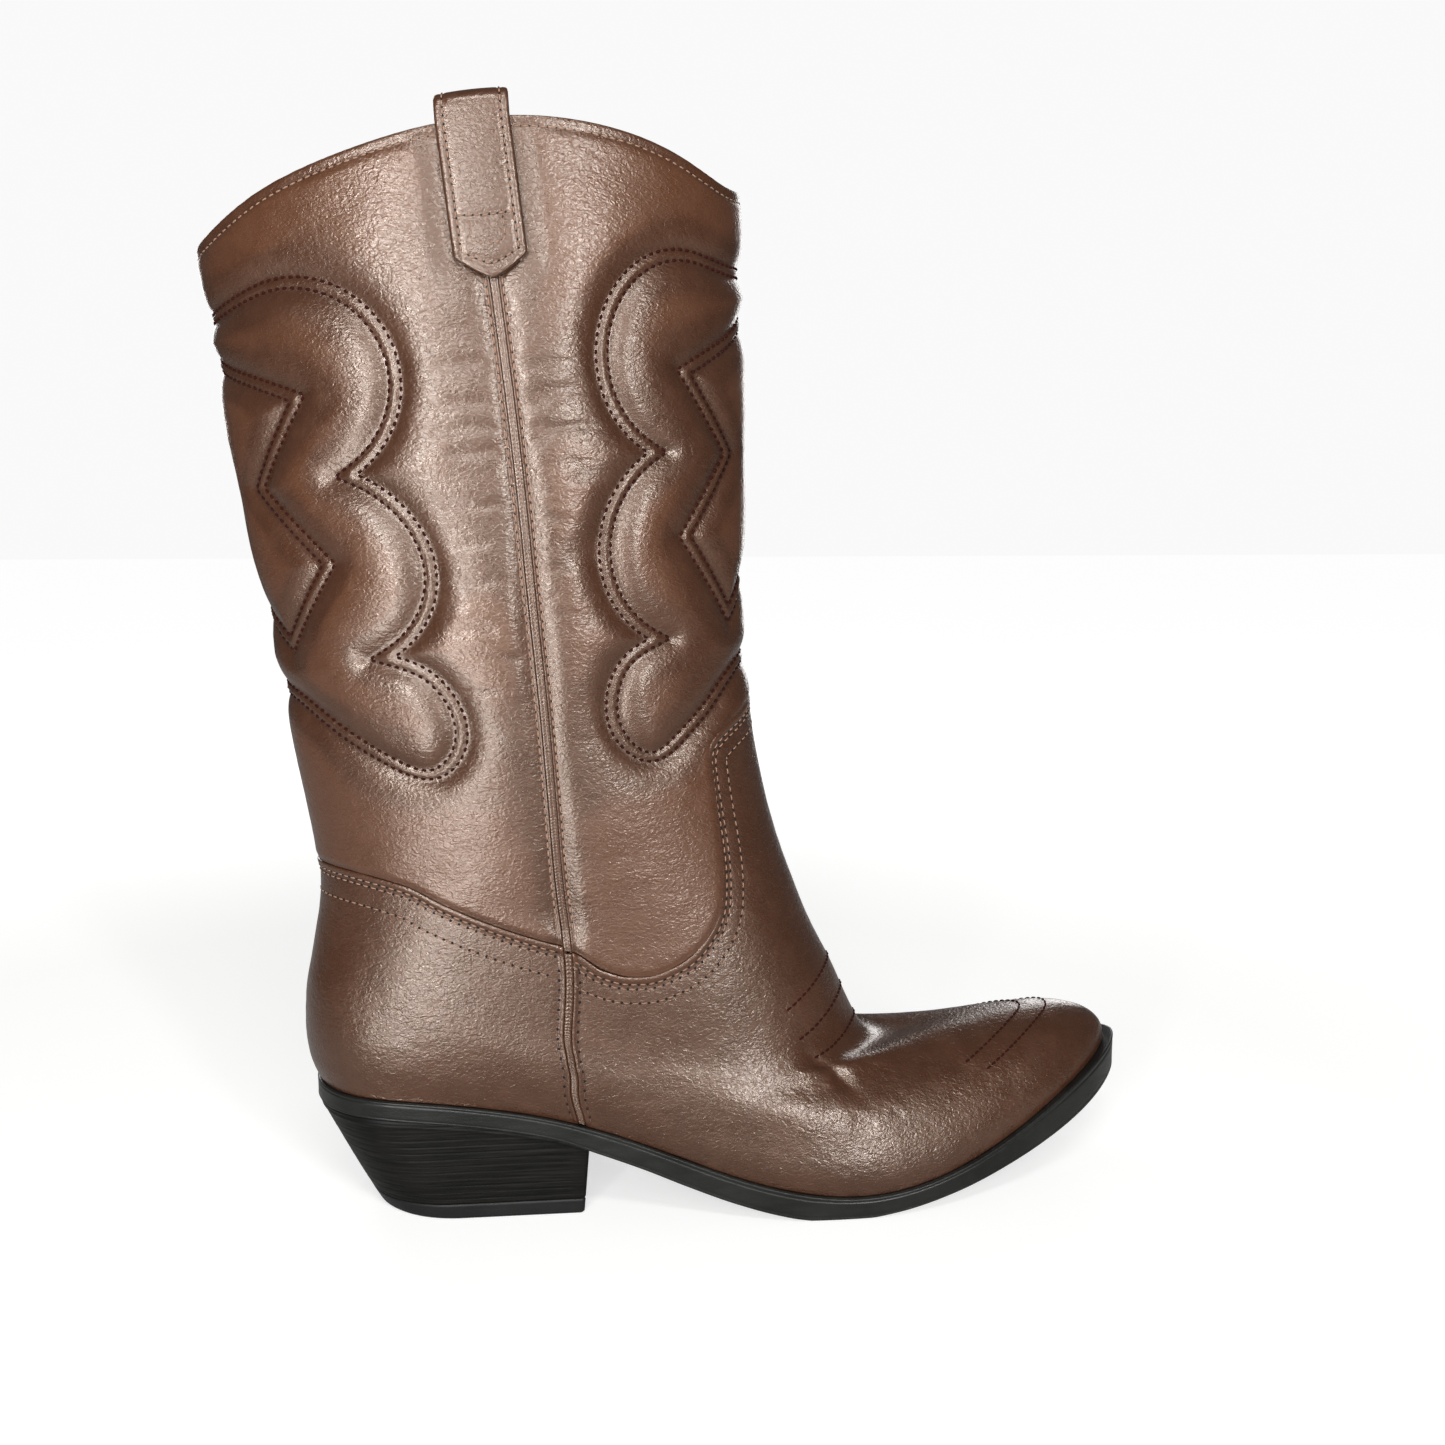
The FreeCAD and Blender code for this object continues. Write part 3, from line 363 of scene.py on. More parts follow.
# upper edges of the vamp and of the counter: u, then v
VAMP_TOP = pchip(
    [0.46, 0.503, 0.53, 0.556, 0.579, 0.614, 0.65, 0.687, 0.71, 0.73,
     0.744, 0.754, 0.761, 0.768, 0.785, 0.82, 0.88, 0.938, 1.0],
    [0.306, 0.297, 0.2855, 0.282, 0.283, 0.290, 0.301, 0.318, 0.332, 0.353,
     0.377, 0.408, 0.446, 0.478, 0.495, 0.507, 0.5185, 0.527, 0.532])
COUNTER_TOP = pchip(
    [0.0, 0.062, 0.17, 0.283, 0.34, 0.399, 0.439, 0.477, 0.53],
    [0.380, 0.3795, 0.376, 0.362, 0.341, 0.322, 0.312, 0.305, 0.297])

SEAM_GAP = 1.3  # from the side seam to the leather's edge
EDGE_GAP = 0.12  # from the foot's leather to the shaft's
V_MEET = 0.297  # where the vamp's upper edge meets the side seams
VAMP_PEAK = 0.532
SHAFT_LOW = 0.282
STRIP, STRIP_SHARE = 3.4, 0.1  # rows that follow a curved edge: mm, and share of the sheet

# layers under the outer surface
LEATHER, GAP, FOAM, LINING, STIFF = 1.3, 0.1, 1.4, 0.8, 1.0
FOAM_OUT = LEATHER + GAP
FOAM_IN = FOAM_OUT + FOAM
LINING_OUT = FOAM_IN + GAP
LINING_IN = LINING_OUT + LINING


def seam_s(v, mm, side):
    """s at mm in front of the side seam."""
    s = SEAM(v)
    return on_side(s + mm * per_mm(s, v), side)


def tree(points):
    found = KDTree(len(points))
    for i, point in enumerate(points):
        found.insert(point, i)
    found.balance()
    return found


def nearest(points_tree, points):
    """Distance from each point to the nearest point in the tree, and that point's number."""
    flat = points.reshape(-1, 3)
    gaps, numbers = np.empty(len(flat)), np.zeros(len(flat), int)
    find = points_tree.find
    for i, point in enumerate(flat):
        _, numbers[i], gaps[i] = find(point)
    return gaps.reshape(points.shape[:-1]), numbers.reshape(points.shape[:-1])


def offset_curve(s, v, mm):
    """Curve mm to the right of (s, v), walking along it and looking at the boot from outside."""
    s, v = np.array(s, float), np.array(v, float)
    edge = at(s, v)
    steps = max(1, int(math.ceil(abs(mm) / 1.5)))
    for _ in range(steps):
        points, normals = surface(s, v)
        along = np.gradient(points, axis=0)
        along /= np.linalg.norm(along, axis=-1, keepdims=True) + 1e-12
        move = np.cross(along, normals) * (mm / steps)
        by_s = (at(s + PROBE, v) - at(s - PROBE, v)) / (2 * PROBE)
        by_v = (at(s, v + PROBE) - at(s, v - PROBE)) / (2 * PROBE)
        # solve move = by_s * ds + by_v * dv
        ss, sv, vv = (by_s * by_s).sum(-1), (by_s * by_v).sum(-1), (by_v * by_v).sum(-1)
        move_s, move_v = (move * by_s).sum(-1), (move * by_v).sum(-1)
        determinant = ss * vv - sv * sv
        s = s + (move_s * vv - move_v * sv) / determinant
        v = v + (move_v * ss - move_s * sv) / determinant
    gaps = np.array([np.linalg.norm(edge - point, axis=-1).min() for point in at(s, v)])
    keep = gaps > abs(mm) * 0.965
    return s[keep], v[keep]


# ------------------------------------------------------------------ meshes
def new_mesh(name, points, faces, materials, relief=None, face_materials=None):
    """Smooth-shaded object from points in mm; faces are an array, or a list of mixed sizes."""
    co = np.asarray(points, float).reshape(-1, 3) * MM
    mesh = bpy.data.meshes.new(name)
    if isinstance(faces, np.ndarray):
        count, corners = faces.shape
        mesh.vertices.add(len(co))
        mesh.vertices.foreach_set("co", co.astype(np.float32).ravel())
        mesh.loops.add(count * corners)
        mesh.loops.foreach_set("vertex_index", faces.astype(np.int32).ravel())
        mesh.polygons.add(count)
        mesh.polygons.foreach_set("loop_start", (np.arange(count) * corners).astype(np.int32))
        mesh.update(calc_edges=True)
    else:
        mesh.from_pydata([tuple(c) for c in co], [], faces)
        mesh.update()
    mesh.validate(verbose=False)
    mesh.polygons.foreach_set("use_smooth", [True] * len(mesh.polygons))
    rest = mesh.attributes.new("rest_co", "FLOAT_VECTOR", "POINT")
    rest.data.foreach_set("vector", co.astype(np.float32).ravel())
    if relief is not None:
        layer = mesh.attributes.new("relief", "FLOAT", "POINT")
        layer.data.foreach_set("value", np.asarray(relief, np.float32).ravel())
    for material in materials:
        mesh.materials.append(material)
    if face_materials is not None:
        mesh.polygons.foreach_set("material_index", np.asarray(face_materials, np.int32))
    obj = bpy.data.objects.new(name, mesh)
    bpy.context.scene.collection.objects.link(obj)
    return obj


def shell(outer, inner):
    """Points and outward faces of a closed shell from two grids joined at the outer's border."""
    rows, columns = outer.shape[:2]
    front = np.arange(rows * columns).reshape(rows, columns)
    back = front.copy()
    back[1:-1, 1:-1] = -1
    own = back < 0
    back[own] = rows * columns + np.arange(own.sum())
    points = np.concatenate([outer.reshape(-1, 3), inner[own]])

    def quads(index):
        corners = [index[:-1, :-1], index[1:, :-1], index[1:, 1:], index[:-1, 1:]]
        return np.stack(corners, -1).reshape(-1, 4)

    faces = np.concatenate([quads(front), quads(back)[:, ::-1]])
    a, b, c, d = (points[faces[:, k]] for k in range(4))
    volume = np.einsum("ij,ij->i", a, np.cross(b, c)) + np.einsum("ij,ij->i", a, np.cross(c, d))
    return points, faces if volume.sum() > 0 else faces[:, ::-1]


def ring_mesh(name, rings, material, relief=None):
    """Closed mesh from rings of equal length, capped by rows between their two sides."""
    rings = np.array(rings)
    count, size = rings.shape[:2]
    index = np.arange(count * size).reshape(count, size)
    after = np.roll(index, -1, axis=1)
    sides = np.stack([index[:-1], after[:-1], after[1:], index[1:]], -1).reshape(-1, 4)
    faces = [tuple(face) for face in sides]
    for ring, turn in ((index[0], -1), (index[-1], 1)):
        for i in range(size // 2):
            # point i lies across from point size - i; the end rows are triangles
            row = (ring[i], ring[(i + 1) % size], ring[(size - i - 1) % size],
                   ring[(size - i) % size])
            face = tuple(dict.fromkeys(row))
            if len(face) >= 3:
                faces.append(face[::turn])
    return new_mesh(name, rings.reshape(-1, 3), faces, [material], relief)


def weld(obj):
    """Joins the rows that ran together at a curved edge."""
    reach = 2e-6
    bm = bmesh.new()
    bm.from_mesh(obj.data)
    bmesh.ops.remove_doubles(bm, verts=bm.verts, dist=reach)
    bmesh.ops.dissolve_degenerate(bm, edges=bm.edges, dist=reach)
    bm.to_mesh(obj.data)
    bm.free()
    obj.data.update()


def rounding(edge, radius):
    """Quarter-circle profile: 0 at the edge, 1 from radius mm inwards."""
    return np.sqrt(np.clip(1 - np.clip(1 - edge / radius, 0, 1) ** 2, 0, 1))


def pressed(height):
    """How far the backing follows the leather down."""
    return np.clip(height + 0.45, -1.12, 0.0)


# mm from a sheet's border to its closely spaced rows
EDGE_ROWS = (0, 0.07, 0.17, 0.34, 0.62, 1.0, 1.45, 1.95, 2.6, 3.4)


def grid_steps(total, step):
    edge = [x for x in EDGE_ROWS if x < total * 0.3]
    count = max(2, int(round((total - 2 * edge[-1]) / step)))
    middle = np.linspace(edge[-1], total - edge[-1], count + 1)
    return np.concatenate([edge[:-1], middle, [total - x for x in reversed(edge[:-1])]]) / total


def strip_steps(height, step, strip):
    """Grid rows for a sheet whose strip edge ("top" or "bottom") is curved."""
    near = np.array(EDGE_ROWS[:-1]) / STRIP * STRIP_SHARE
    rest = np.linspace(STRIP_SHARE, 1, int(round(height / step)))
    far = 1 - np.array([0.9, 0.55, 0.3, 0.12]) / height * (1 - STRIP_SHARE)
    rows = np.unique(np.concatenate([near, rest[:-1], far, [1.0]]))
    return 1 - rows[::-1] if strip == "top" else rows


class Sheet:
    """A sewn sheet. Shares (across, up) give v by v_of, and (across, v) give s by s_of;
    outer and inner are its depths; relief(points, v, edges) is its height in mm."""

    def __init__(self, name, s_of, v_of, outer, inner, width, height, step,
                 relief=None, follow=False, strip=None):
        self.name, self.s_of, self.v_of = name, s_of, v_of
        self.outer, self.inner = outer, inner
        self.relief, self.follow, self.strip = relief, follow, strip
        self.across = grid_steps(width, step)
        self.up = strip_steps(height, step, strip) if strip else grid_steps(height, step)
        q = np.linspace(0, 1, 900)
        borders = {"bottom": (q, 0 * q), "top": (q, 0 * q + 1),
                   "left": (0 * q, q), "right": (0 * q + 1, q)}
        self.curves = {edge: self.place(*shares) for edge, shares in borders.items()}
        self.trees = {edge: tree(dense(at(*curve))) for edge, curve in self.curves.items()}

    def place(self, across, up):
        v = self.v_of(across, up)
        return self.s_of(across, v), v

    def edges(self, points):
        """Distance from each border."""
        return {edge: nearest(found, points)[0] for edge, found in self.trees.items()}

    def height(self, points, v, edges=None):
        if not self.relief:
            return np.zeros(points.shape[:-1])
        return self.relief(points, v, edges or self.edges(points))

    def build(self, material):
        s, v = self.place(*np.meshgrid(self.across, self.up, indexing="ij"))
        points, normals = surface(s, v)
        edges = self.edges(points)
        height = self.height(points, v, edges)
        sink = pressed(height) if self.follow else 0.0
        border = np.ones(height.shape, bool)
        border[1:-1, 1:-1] = False
        edge = np.minimum.reduce(list(edges.values()))
        edge[border] = 0
        drop = (self.inner - self.outer) / 2 * (1 - rounding(edge, 0.24))
        inner_depth = self.inner - sink - drop
        outer_depth = np.minimum(self.outer - height + drop, inner_depth)
        outer = points - normals * outer_depth[..., None]
        inner = points - normals * inner_depth[..., None]
        outer[border] = (outer[border] + inner[border]) / 2
        shell_points, faces = shell(outer, inner)
        flat = np.zeros(len(shell_points) - height.size)
        # relief attribute: the upper leather paints shade where it is low and a highlight where it
        # is high
        relief = np.concatenate([height.ravel() - drop.ravel() * 0.5, flat])
        obj = new_mesh(self.name, shell_points, faces, [material], relief)
        if self.strip:
            weld(obj)
        return obj


# ------------------------------------------------------------------ where the pieces lie
def vamp_top(s):
    return VAMP_TOP(half_u(s))


def counter_top(s):
    return COUNTER_TOP(np.abs(s))


def round_front(across, v, gap=SEAM_GAP):
    """s from the lateral seam over the toe or shin to the medial seam."""
    return lerp(seam_s(v, gap, -1), seam_s(v, gap, 1), across)


def round_back(across, v, gap=SEAM_GAP):
    """s from the medial seam over the heel to the lateral seam."""
    return lerp(seam_s(v, -gap, 1) - 2.0, seam_s(v, -gap, -1), across)


def beside_seams(across, v, power):
    """Like round_front, with columns straight up in the middle and bent to the seams."""
    lateral, medial = (seam_s(v, SEAM_GAP, side) - seam_s(V_MEET, SEAM_GAP, side)
                       for side in (-1, 1))
    bend = np.where(across < 0.5, lateral, medial) * np.abs(2 * across - 1) ** power
    return round_front(across, V_MEET) + bend


def above(edge_of, s):
    """v that lies EDGE_GAP above the edge at s, measured square to it."""
    v = edge_of(s)
    probe = 2e-3
    slope = (edge_of(s + probe) - edge_of(s - probe)) / (2 * probe)
    mm_s = 1 / per_mm(s, v)
    mm_v = np.linalg.norm(at(s, v + probe) - at(s, v - probe), axis=-1) / (2 * probe)
    lean = np.maximum(np.cos(np.arctan2(slope * mm_v, mm_s)), 0.12)
    return v + EDGE_GAP / lean / mm_v


def vamp_v(across, up):
    """Level rows, and below the top edge a strip of rows that follow it."""
    edge = vamp_top(round_front(across, V_MEET))
    level = VAMP_PEAK * up / (1 - STRIP_SHARE)
    strip = edge - STRIP * (1 - up) / STRIP_SHARE / V_MM
    return np.where(up <= 1 - STRIP_SHARE + 1e-9, np.minimum(level, edge - STRIP / V_MM), strip)


def front_v(across, up):
    """A strip of rows that follow the lower edge, and level rows above it."""
    edge = above(vamp_top, round_front(across, V_MEET))
    level = lerp(SHAFT_LOW, 1.0, (up - STRIP_SHARE) / (1 - STRIP_SHARE))
    strip = edge + STRIP * up / STRIP_SHARE / V_MM
    return np.where(up >= STRIP_SHARE - 1e-9, np.maximum(level, edge + STRIP / V_MM), strip)


def counter_v(across, up):
    return counter_top(round_back(across, 0.3)) * up


def back_v(across, up):
    return lerp(above(counter_top, round_back(across, 0.3)), 1.0, up)


# ------------------------------------------------------------------ shaft embroidery
# Half of a mirrored figure, in mm from the panel's centre line and mm up the boot: an outline
# of equal round scallops and a chain of lozenges inside it. Parts run from corner to corner.
def arc(x, y, radius, start, end):
    angles = [math.radians(start + (end - start) * k / 12) for k in range(13)]
    return [(x + radius * math.cos(t), y + radius * math.sin(t)) for t in angles]


LOBE_R, LOBE_X, LOBE_Y = 36.0, 26.0, 336.0
LOBE_STEP = 2 * LOBE_R * math.sin(math.radians(60))
SCALLOPS = [
    [(0, LOBE_Y + LOBE_R), (10, LOBE_Y + LOBE_R)] + arc(LOBE_X, LOBE_Y, LOBE_R, 90, -60),
    arc(LOBE_X, LOBE_Y - LOBE_STEP, LOBE_R, 60, -60),
    [(44, 242.4), (55, 236), (61, 222), (59, 207), (50, 198), (38, 205), (26, 216), (12, 228),
     (0, 232)],
]
LOZENGE_CORNERS = [(0, 354), (34, 332), (14, 304), (34, 276), (14, 248), (0, 262)]
LOZENGES = [list(pair) for pair in zip(LOZENGE_CORNERS, LOZENGE_CORNERS[1:])]
HALF_GAP = 1.8  # from a figure's line to each of its twin rows
THREAD_STEP = 0.4
BACK_WIDEN = 1.17


def smooth_part(points):
    if len(points) == 2:
        return dense(np.array(points, float), THREAD_STEP)
    return dense(np.stack(through(points, 160, power=0.7), -1), THREAD_STEP)


def twin_rows(figure):
    """Rows of thread on both sides of each part, drawn out to the outer corners; the parts."""
    parts = [smooth_part(points) for points in figure]
    middle = np.concatenate(parts)
    tangents = [unit(np.gradient(part, axis=0)) for part in parts]
    rows = []
    for sign in (1, -1):
        normals = [np.stack([-t[:, 1], t[:, 0]], -1) * sign for t in tangents]

        def corner(first, here):
            """The corner of the row between parts first and first + 1, if it is an outer one."""
            if 0 <= first < len(parts) - 1:
                (x1, y1), (x2, y2) = tangents[first][-1], tangents[first + 1][0]
                normal = normals[first][-1]
                middle_way = normal + normals[first + 1][0]
                length = np.linalg.norm(middle_way)
                if (x1 * y2 - y1 * x2) * sign < 0 and length > 1e-3:
                    middle_way = middle_way / length
                    reach = min(HALF_GAP / max(middle_way @ normal, 0.2), 4.6)
                    return (here + middle_way * reach)[None]
            return np.zeros((0, 2))

        for k, part in enumerate(parts):
            row = part + normals[k] * HALF_GAP
            gaps = np.sqrt(((row[:, None] - middle[None]) ** 2).sum(-1)).min(1)
            row = row[gaps > HALF_GAP * 0.975]
            if len(row) < 2:
                continue
            row = np.concatenate([corner(k - 1, part[0]), row, corner(k, part[-1])])
            rows.append(dense(row, THREAD_STEP))
    return rows, parts


def chart(line, front, side):
    """(mm from the panel's centre line, mm up the boot) to (s, v)."""
    v = line[:, 1] / V_MM
    row = np.round((v - V_LOW) / (V_HIGH - V_LOW) * (GRID_ROWS - 1)).astype(int)
    columns = np.linspace(0, 2, AROUND + 1)
    s = np.empty(len(line))
    for i, j in enumerate(np.clip(row, 0, GRID_ROWS - 1)):
        length = GRID_LENGTHS[j]
        place = length[HALF_ROUND] - line[i, 0] if front else line[i, 0]
        s[i] = np.interp(place, length, columns)
    return on_side(s, side), v


def figure_on_panel(front, widen):
    """(s, v) of the thread rows, and of the lines midway between them."""
    rows, parts = [], []
    for figure in (SCALLOPS, LOZENGES):
        wide = [[(x * widen, y) for x, y in part] for part in figure]
        new_rows, new_parts = twin_rows(wide)
        rows += new_rows
        parts += new_parts
    return [[chart(line, front, side) for side in (-1, 1) for line in lines]
            for lines in (rows, parts)]


FRONT_ROWS, FRONT_MIDDLES = figure_on_panel(True, 1.0)
BACK_ROWS, BACK_MIDDLES = figure_on_panel(False, BACK_WIDEN)


# ------------------------------------------------------------------ relief of the leather
# Heights in mm over the outer surface. Each bump is (distance, centre, half width).
THREAD_DEPTH = 1.9  # how deep the embroidery pulls the leather down
SEAM_DEPTH = 1.2  # how deep the shaft's side seam lies


def shaft_relief(rows, middles, seed):
    row_tree = tree(np.concatenate([dense(at(*row)) for row in rows]))
    middle_tree = tree(np.concatenate([at(*middle) for middle in middles]))

    def relief(points, v, edges):
        row_gap = nearest(row_tree, points)[0]
        middle_gap = nearest(middle_tree, points)[0]
        side, top, bottom = np.minimum(edges["left"], edges["right"]), edges["top"], edges["bottom"]
        z = points[..., 2]
        # a narrow roll between twin rows, and quilted fields outside them
        inside = 1 - smooth(HALF_GAP - 0.35, HALF_GAP + 0.25, middle_gap)
        clear = np.maximum(row_gap - 0.45, 0.0)
        roll_rise = 1 - (1 - np.clip(clear / (HALF_GAP - 0.45), 0, 1)) ** 2
        roll = -THREAD_DEPTH + 1.0 * roll_rise
        field = -THREAD_DEPTH * np.exp(-((clear / 3.6) ** 1.15))
        field = field + 0.95 * (1 - np.exp(-clear / 7.0))
        h = roll * inside + field * (1 - inside)
        # flatter under the pull straps
        strapped = smooth(296, 304, z) * smooth(17, 12, side)
        h = np.where(h > 0, h * (1 - 0.7 * strapped), h)
        # unevenness, coarse only away from the thread
        coarse = layered_noise(points, seed, (0.42, 38, 1), (0.16, 15, 1.6))
        h = h + coarse * smooth(1.5, 9, row_gap)
        h = h + layered_noise(points, seed + 2, (0.045, 4.2, 1.9), (0.02, 1.9, 1))
        # faint level wrinkles in the plain field by the side seam
        plain_field = smooth(2, 6, side) * (1 - smooth(16, 30, side))
        warped = points + 1.5 * noise3(points, 9.0, seed + 5)[..., None]
        wrinkle = noise3(warped * (0.22, 0.22, 1.0), 3.8, seed + 4)
        wrinkled_height = smooth(150, 190, z) * (1 - smooth(262, 292, z))
        h = h - 0.42 * plain_field * smooth(0.15, 0.65, wrinkle) * wrinkled_height
        # turned side edges with a crease, in the valley of the seam
        h = h * lerp(0.25, 1.0, smooth(0.5, 6.0, np.minimum(side, top)))
        h = h + 0.30 * bump(side, 0.3, 1.0) - 0.30 * bump(side, 1.15, 0.4)
        valley = np.exp(-np.maximum(side - 1.4, 0) / 8.5)
        h = h - SEAM_DEPTH * valley * smooth(0, 9, top) * smooth(0, 10, bottom)
        # bead and groove at the rim
        h = h + 0.22 * bump(top, 1.0, 0.8) - 0.3 * bump(top, 3.1, 0.45)
        # the lower edge dives under the foot's leather
        h = h - 0.55 * smooth(2.6, 0.0, bottom)
        # never deeper than the pressed foam allows
        return np.where(h < -1.5, -1.5 - 0.6 * (1 - np.exp((h + 1.5) / 0.6)), h)

    return relief


def foot_edges(h, v, edges, fold, groove, row):
    """Adds raised edges to a foot piece; fold, groove and row are mm below its top edge."""
    side, top = np.minimum(edges["left"], edges["right"]), edges["top"]
    h = h * smooth(0, 5, np.minimum(side, top))
    h = h + 0.50 * bump(side, 0.6, 0.75) - 0.14 * bump(side, 2.0, 0.9)
    h = h + 0.62 * smooth(fold, 0.6, top) * (1 - 0.35 * bump(top, 0, 0.5))
    h = h - 0.14 * bump(top, groove, 1.7) - 0.10 * bump(top, row, 0.9)
    return h * smooth(0.0, 0.012, v)


# (u, v) of the ankle crease down each side, and of the fold that runs on over the toe
ANKLE_CREASE = [(0.766, 0.246), (0.745, 0.205), (0.705, 0.172), (0.675, 0.146),
                (0.655, 0.122), (0.645, 0.104)]
TOE_CREASE = [(0.645, 0.104), (0.66, 0.108), (0.685, 0.112), (0.715, 0.118), (0.76, 0.126),
              (0.84, 0.135), (0.93, 0.142), (1.0, 0.146)]
CREASE_POINTS = 240


def crease_tree(points):
    u, v = through(points, CREASE_POINTS)
    return tree(np.concatenate([at(on_side(u, side), v) for side in (-1, 1)]))


def make_vamp_relief():
    ankle, toe = crease_tree(ANKLE_CREASE), crease_tree(TOE_CREASE)
    run = np.linspace(0, 1, CREASE_POINTS)
    ankle_fade = np.tile(smooth(0.0, 0.25, run) * smooth(1.0, 0.55, run), 2)
    toe_fade = np.tile(smooth(0.0, 0.3, run), 2)

    def relief(points, v, edges):
        h = layered_noise(points, 21, (0.30, 33, 1), (0.13, 13, 1), (0.05, 4.4, 1.6),
                          (0.02, 1.9, 1))
        (ankle_gap, ankle_i), (toe_gap, toe_i) = nearest(ankle, points), nearest(toe, points)
        off_sole = smooth(0.03, 0.09, v)
        fold = -0.95 * bump(ankle_gap, 0, 2.5) + 0.36 * bump(ankle_gap, 7.0, 5.0)
        dip = 0.12 * bump(toe_gap, 0, 6.0)
        h = h + off_sole * (ankle_fade[ankle_i] * fold - toe_fade[toe_i] * dip)
        # small folds fanning out at the bend
        small = smooth(0.2, 0.7, noise3(points * (1.0, 1.0, 0.45), 4.6, 25))
        h = h - 0.20 * small * bump(ankle_gap, 0, 16.0) * off_sole
        return foot_edges(h, v, edges, fold=3.4, groove=3.3, row=8.7)

    return relief


def counter_relief(points, v, edges):
    h = layered_noise(points, 31, (0.28, 34, 1), (0.10, 13, 1), (0.05, 4.4, 1.6), (0.02, 1.9, 1))
    return foot_edges(h, v, edges, fold=3.2, groove=3.0, row=10.3)


def lining_relief(points, v, edges):
    edge = np.minimum.reduce(list(edges.values()))
    return -0.12 * noise3(points, 24, 61) * smooth(0, 6, edge)


# ------------------------------------------------------------------ materials
def srgb(*channels):
    parts = [c / 255.0 for c in channels]
    return tuple(c / 12.92 if c <= 0.04045 else ((c + 0.055) / 1.055) ** 2.4 for c in parts) + (1.0,)


class Shader:
    """A material on the Principled BSDF; textures are laid on the rest_co attribute."""

    def __init__(self, name):
        self.material = bpy.data.materials.new(name)
        self.material.use_nodes = True
        self.tree = self.material.node_tree
        self.rest = self.node("Attribute", {"attribute_name": "rest_co"}).outputs["Vector"]

    def put(self, node, key, value):
        if isinstance(value, bpy.types.NodeSocket):
            self.tree.links.new(value, node.inputs[key])
        else:
            node.inputs[key].default_value = value

    def node(self, kind, settings={}, inputs={}):
        node = self.tree.nodes.new("ShaderNode" + kind)
        for key, value in settings.items():
            setattr(node, key, value)
        for key, value in inputs.items():
            self.put(node, key, value)
        return node

    def set(self, **inputs):
        for key, value in inputs.items():
            self.put(self.tree.nodes["Principled BSDF"], key.replace("_", " "), value)

    def coords(self, stretch=(1, 1, 1)):
        return self.node("Mapping", {}, {"Vector": self.rest, "Scale": stretch}).outputs["Vector"]

    def noise(self, scale, detail=3.0, roughness=0.6, stretch=(1, 1, 1), distortion=0.0):
        return self.node("TexNoise", {}, {
            "Vector": self.coords(stretch), "Scale": scale, "Detail": detail,
            "Roughness": roughness, "Distortion": distortion}).outputs["Fac"]

    def cell_edges(self, scale, stretch):
        return self.node("TexVoronoi", {"feature": "DISTANCE_TO_EDGE"}, {
            "Vector": self.coords(stretch), "Scale": scale,
            "Randomness": 1.0}).outputs["Distance"]

    def relief(self):
        return self.node("Attribute", {"attribute_name": "relief"}).outputs["Fac"]

    def math(self, operation, a, b=0.0):
        return self.node("Math", {"operation": operation}, {0: a, 1: b}).outputs[0]

    def ramp(self, value, low, high, to_low=0.0, to_high=1.0):
        return self.node("MapRange", {}, {
            "Value": value, "From Min": low, "From Max": high,
            "To Min": to_low, "To Max": to_high}).outputs["Result"]

    def mix(self, share, a, b):
        return self.node("Mix", {"data_type": "RGBA"}, {0: share, 6: a, 7: b}).outputs[2]

    def bump(self, height, distance, strength, under=None):
        inputs = {"Height": height, "Distance": distance, "Strength": strength}
        if under is not None:
            inputs["Normal"] = under
        return self.node("Bump", {}, inputs).outputs["Normal"]


def leather(name, base, dark, light, grain=1.0, relief=False):
    m = Shader(name)
    blotches, mottle = m.noise(22), m.noise(140)
    colour = m.mix(m.ramp(blotches, 0.3, 0.75, 0.0, 0.4), base, dark)
    colour = m.mix(m.ramp(mottle, 0.45, 0.75, 0.0, 0.18), colour, light)
    # fine pebbles with creased veins between them
    cell = m.ramp(m.cell_edges(1150, (1, 1, 1.25)), 0.0, 0.22)
    vein = m.noise(620, 4, 0.62, (1, 1, 1.9), distortion=0.6)
    vein = m.ramp(m.math("ABSOLUTE", m.math("SUBTRACT", vein, 0.5)), 0.0, 0.15)
    pores = m.noise(2600, 2, 0.5)
    height = m.math("ADD", m.math("MULTIPLY", vein, 0.6), m.math("MULTIPLY", cell, 0.3))
    height = m.math("ADD", height, m.math("MULTIPLY", pores, 0.25))
    colour = m.mix(m.ramp(height, 0.2, 0.95, 0.28 * grain, 0.0), colour, dark)
    if relief:
        # painted shade: darker in the stitched grooves and at sunk edges; painted highlight: lighter
        # on the puffed fields, beads and raised edges
        raised = m.relief()
        colour = m.mix(m.ramp(raised, -0.9, -1.8, 0.0, 0.3), colour, dark)
        colour = m.mix(m.ramp(raised, 0.35, 0.75, 0.0, 0.35), colour, light)
    roughness = m.math("ADD", m.ramp(mottle, 0.3, 0.7, -0.05, 0.05), 0.30)
    roughness = m.math("ADD", roughness, m.ramp(height, 0.2, 0.9, 0.10, -0.03))
    waves = m.noise(640, 1.4, 0.45, (1, 1, 1.5), distortion=0.9)
    soft_normal = m.bump(waves, distance=0.00040, strength=0.5 * grain)
    m.set(
        Base_Color=colour,
        Roughness=roughness,
        Normal=m.bump(height, distance=0.000025, strength=1.0 * grain, under=soft_normal),
        Coat_Weight=0.40,
        Coat_Roughness=0.19,
        Coat_Normal=soft_normal,
        Specular_IOR_Level=0.9,
        Specular_Tint=(1.0, 0.80, 0.66, 1.0),
    )
    return m.material


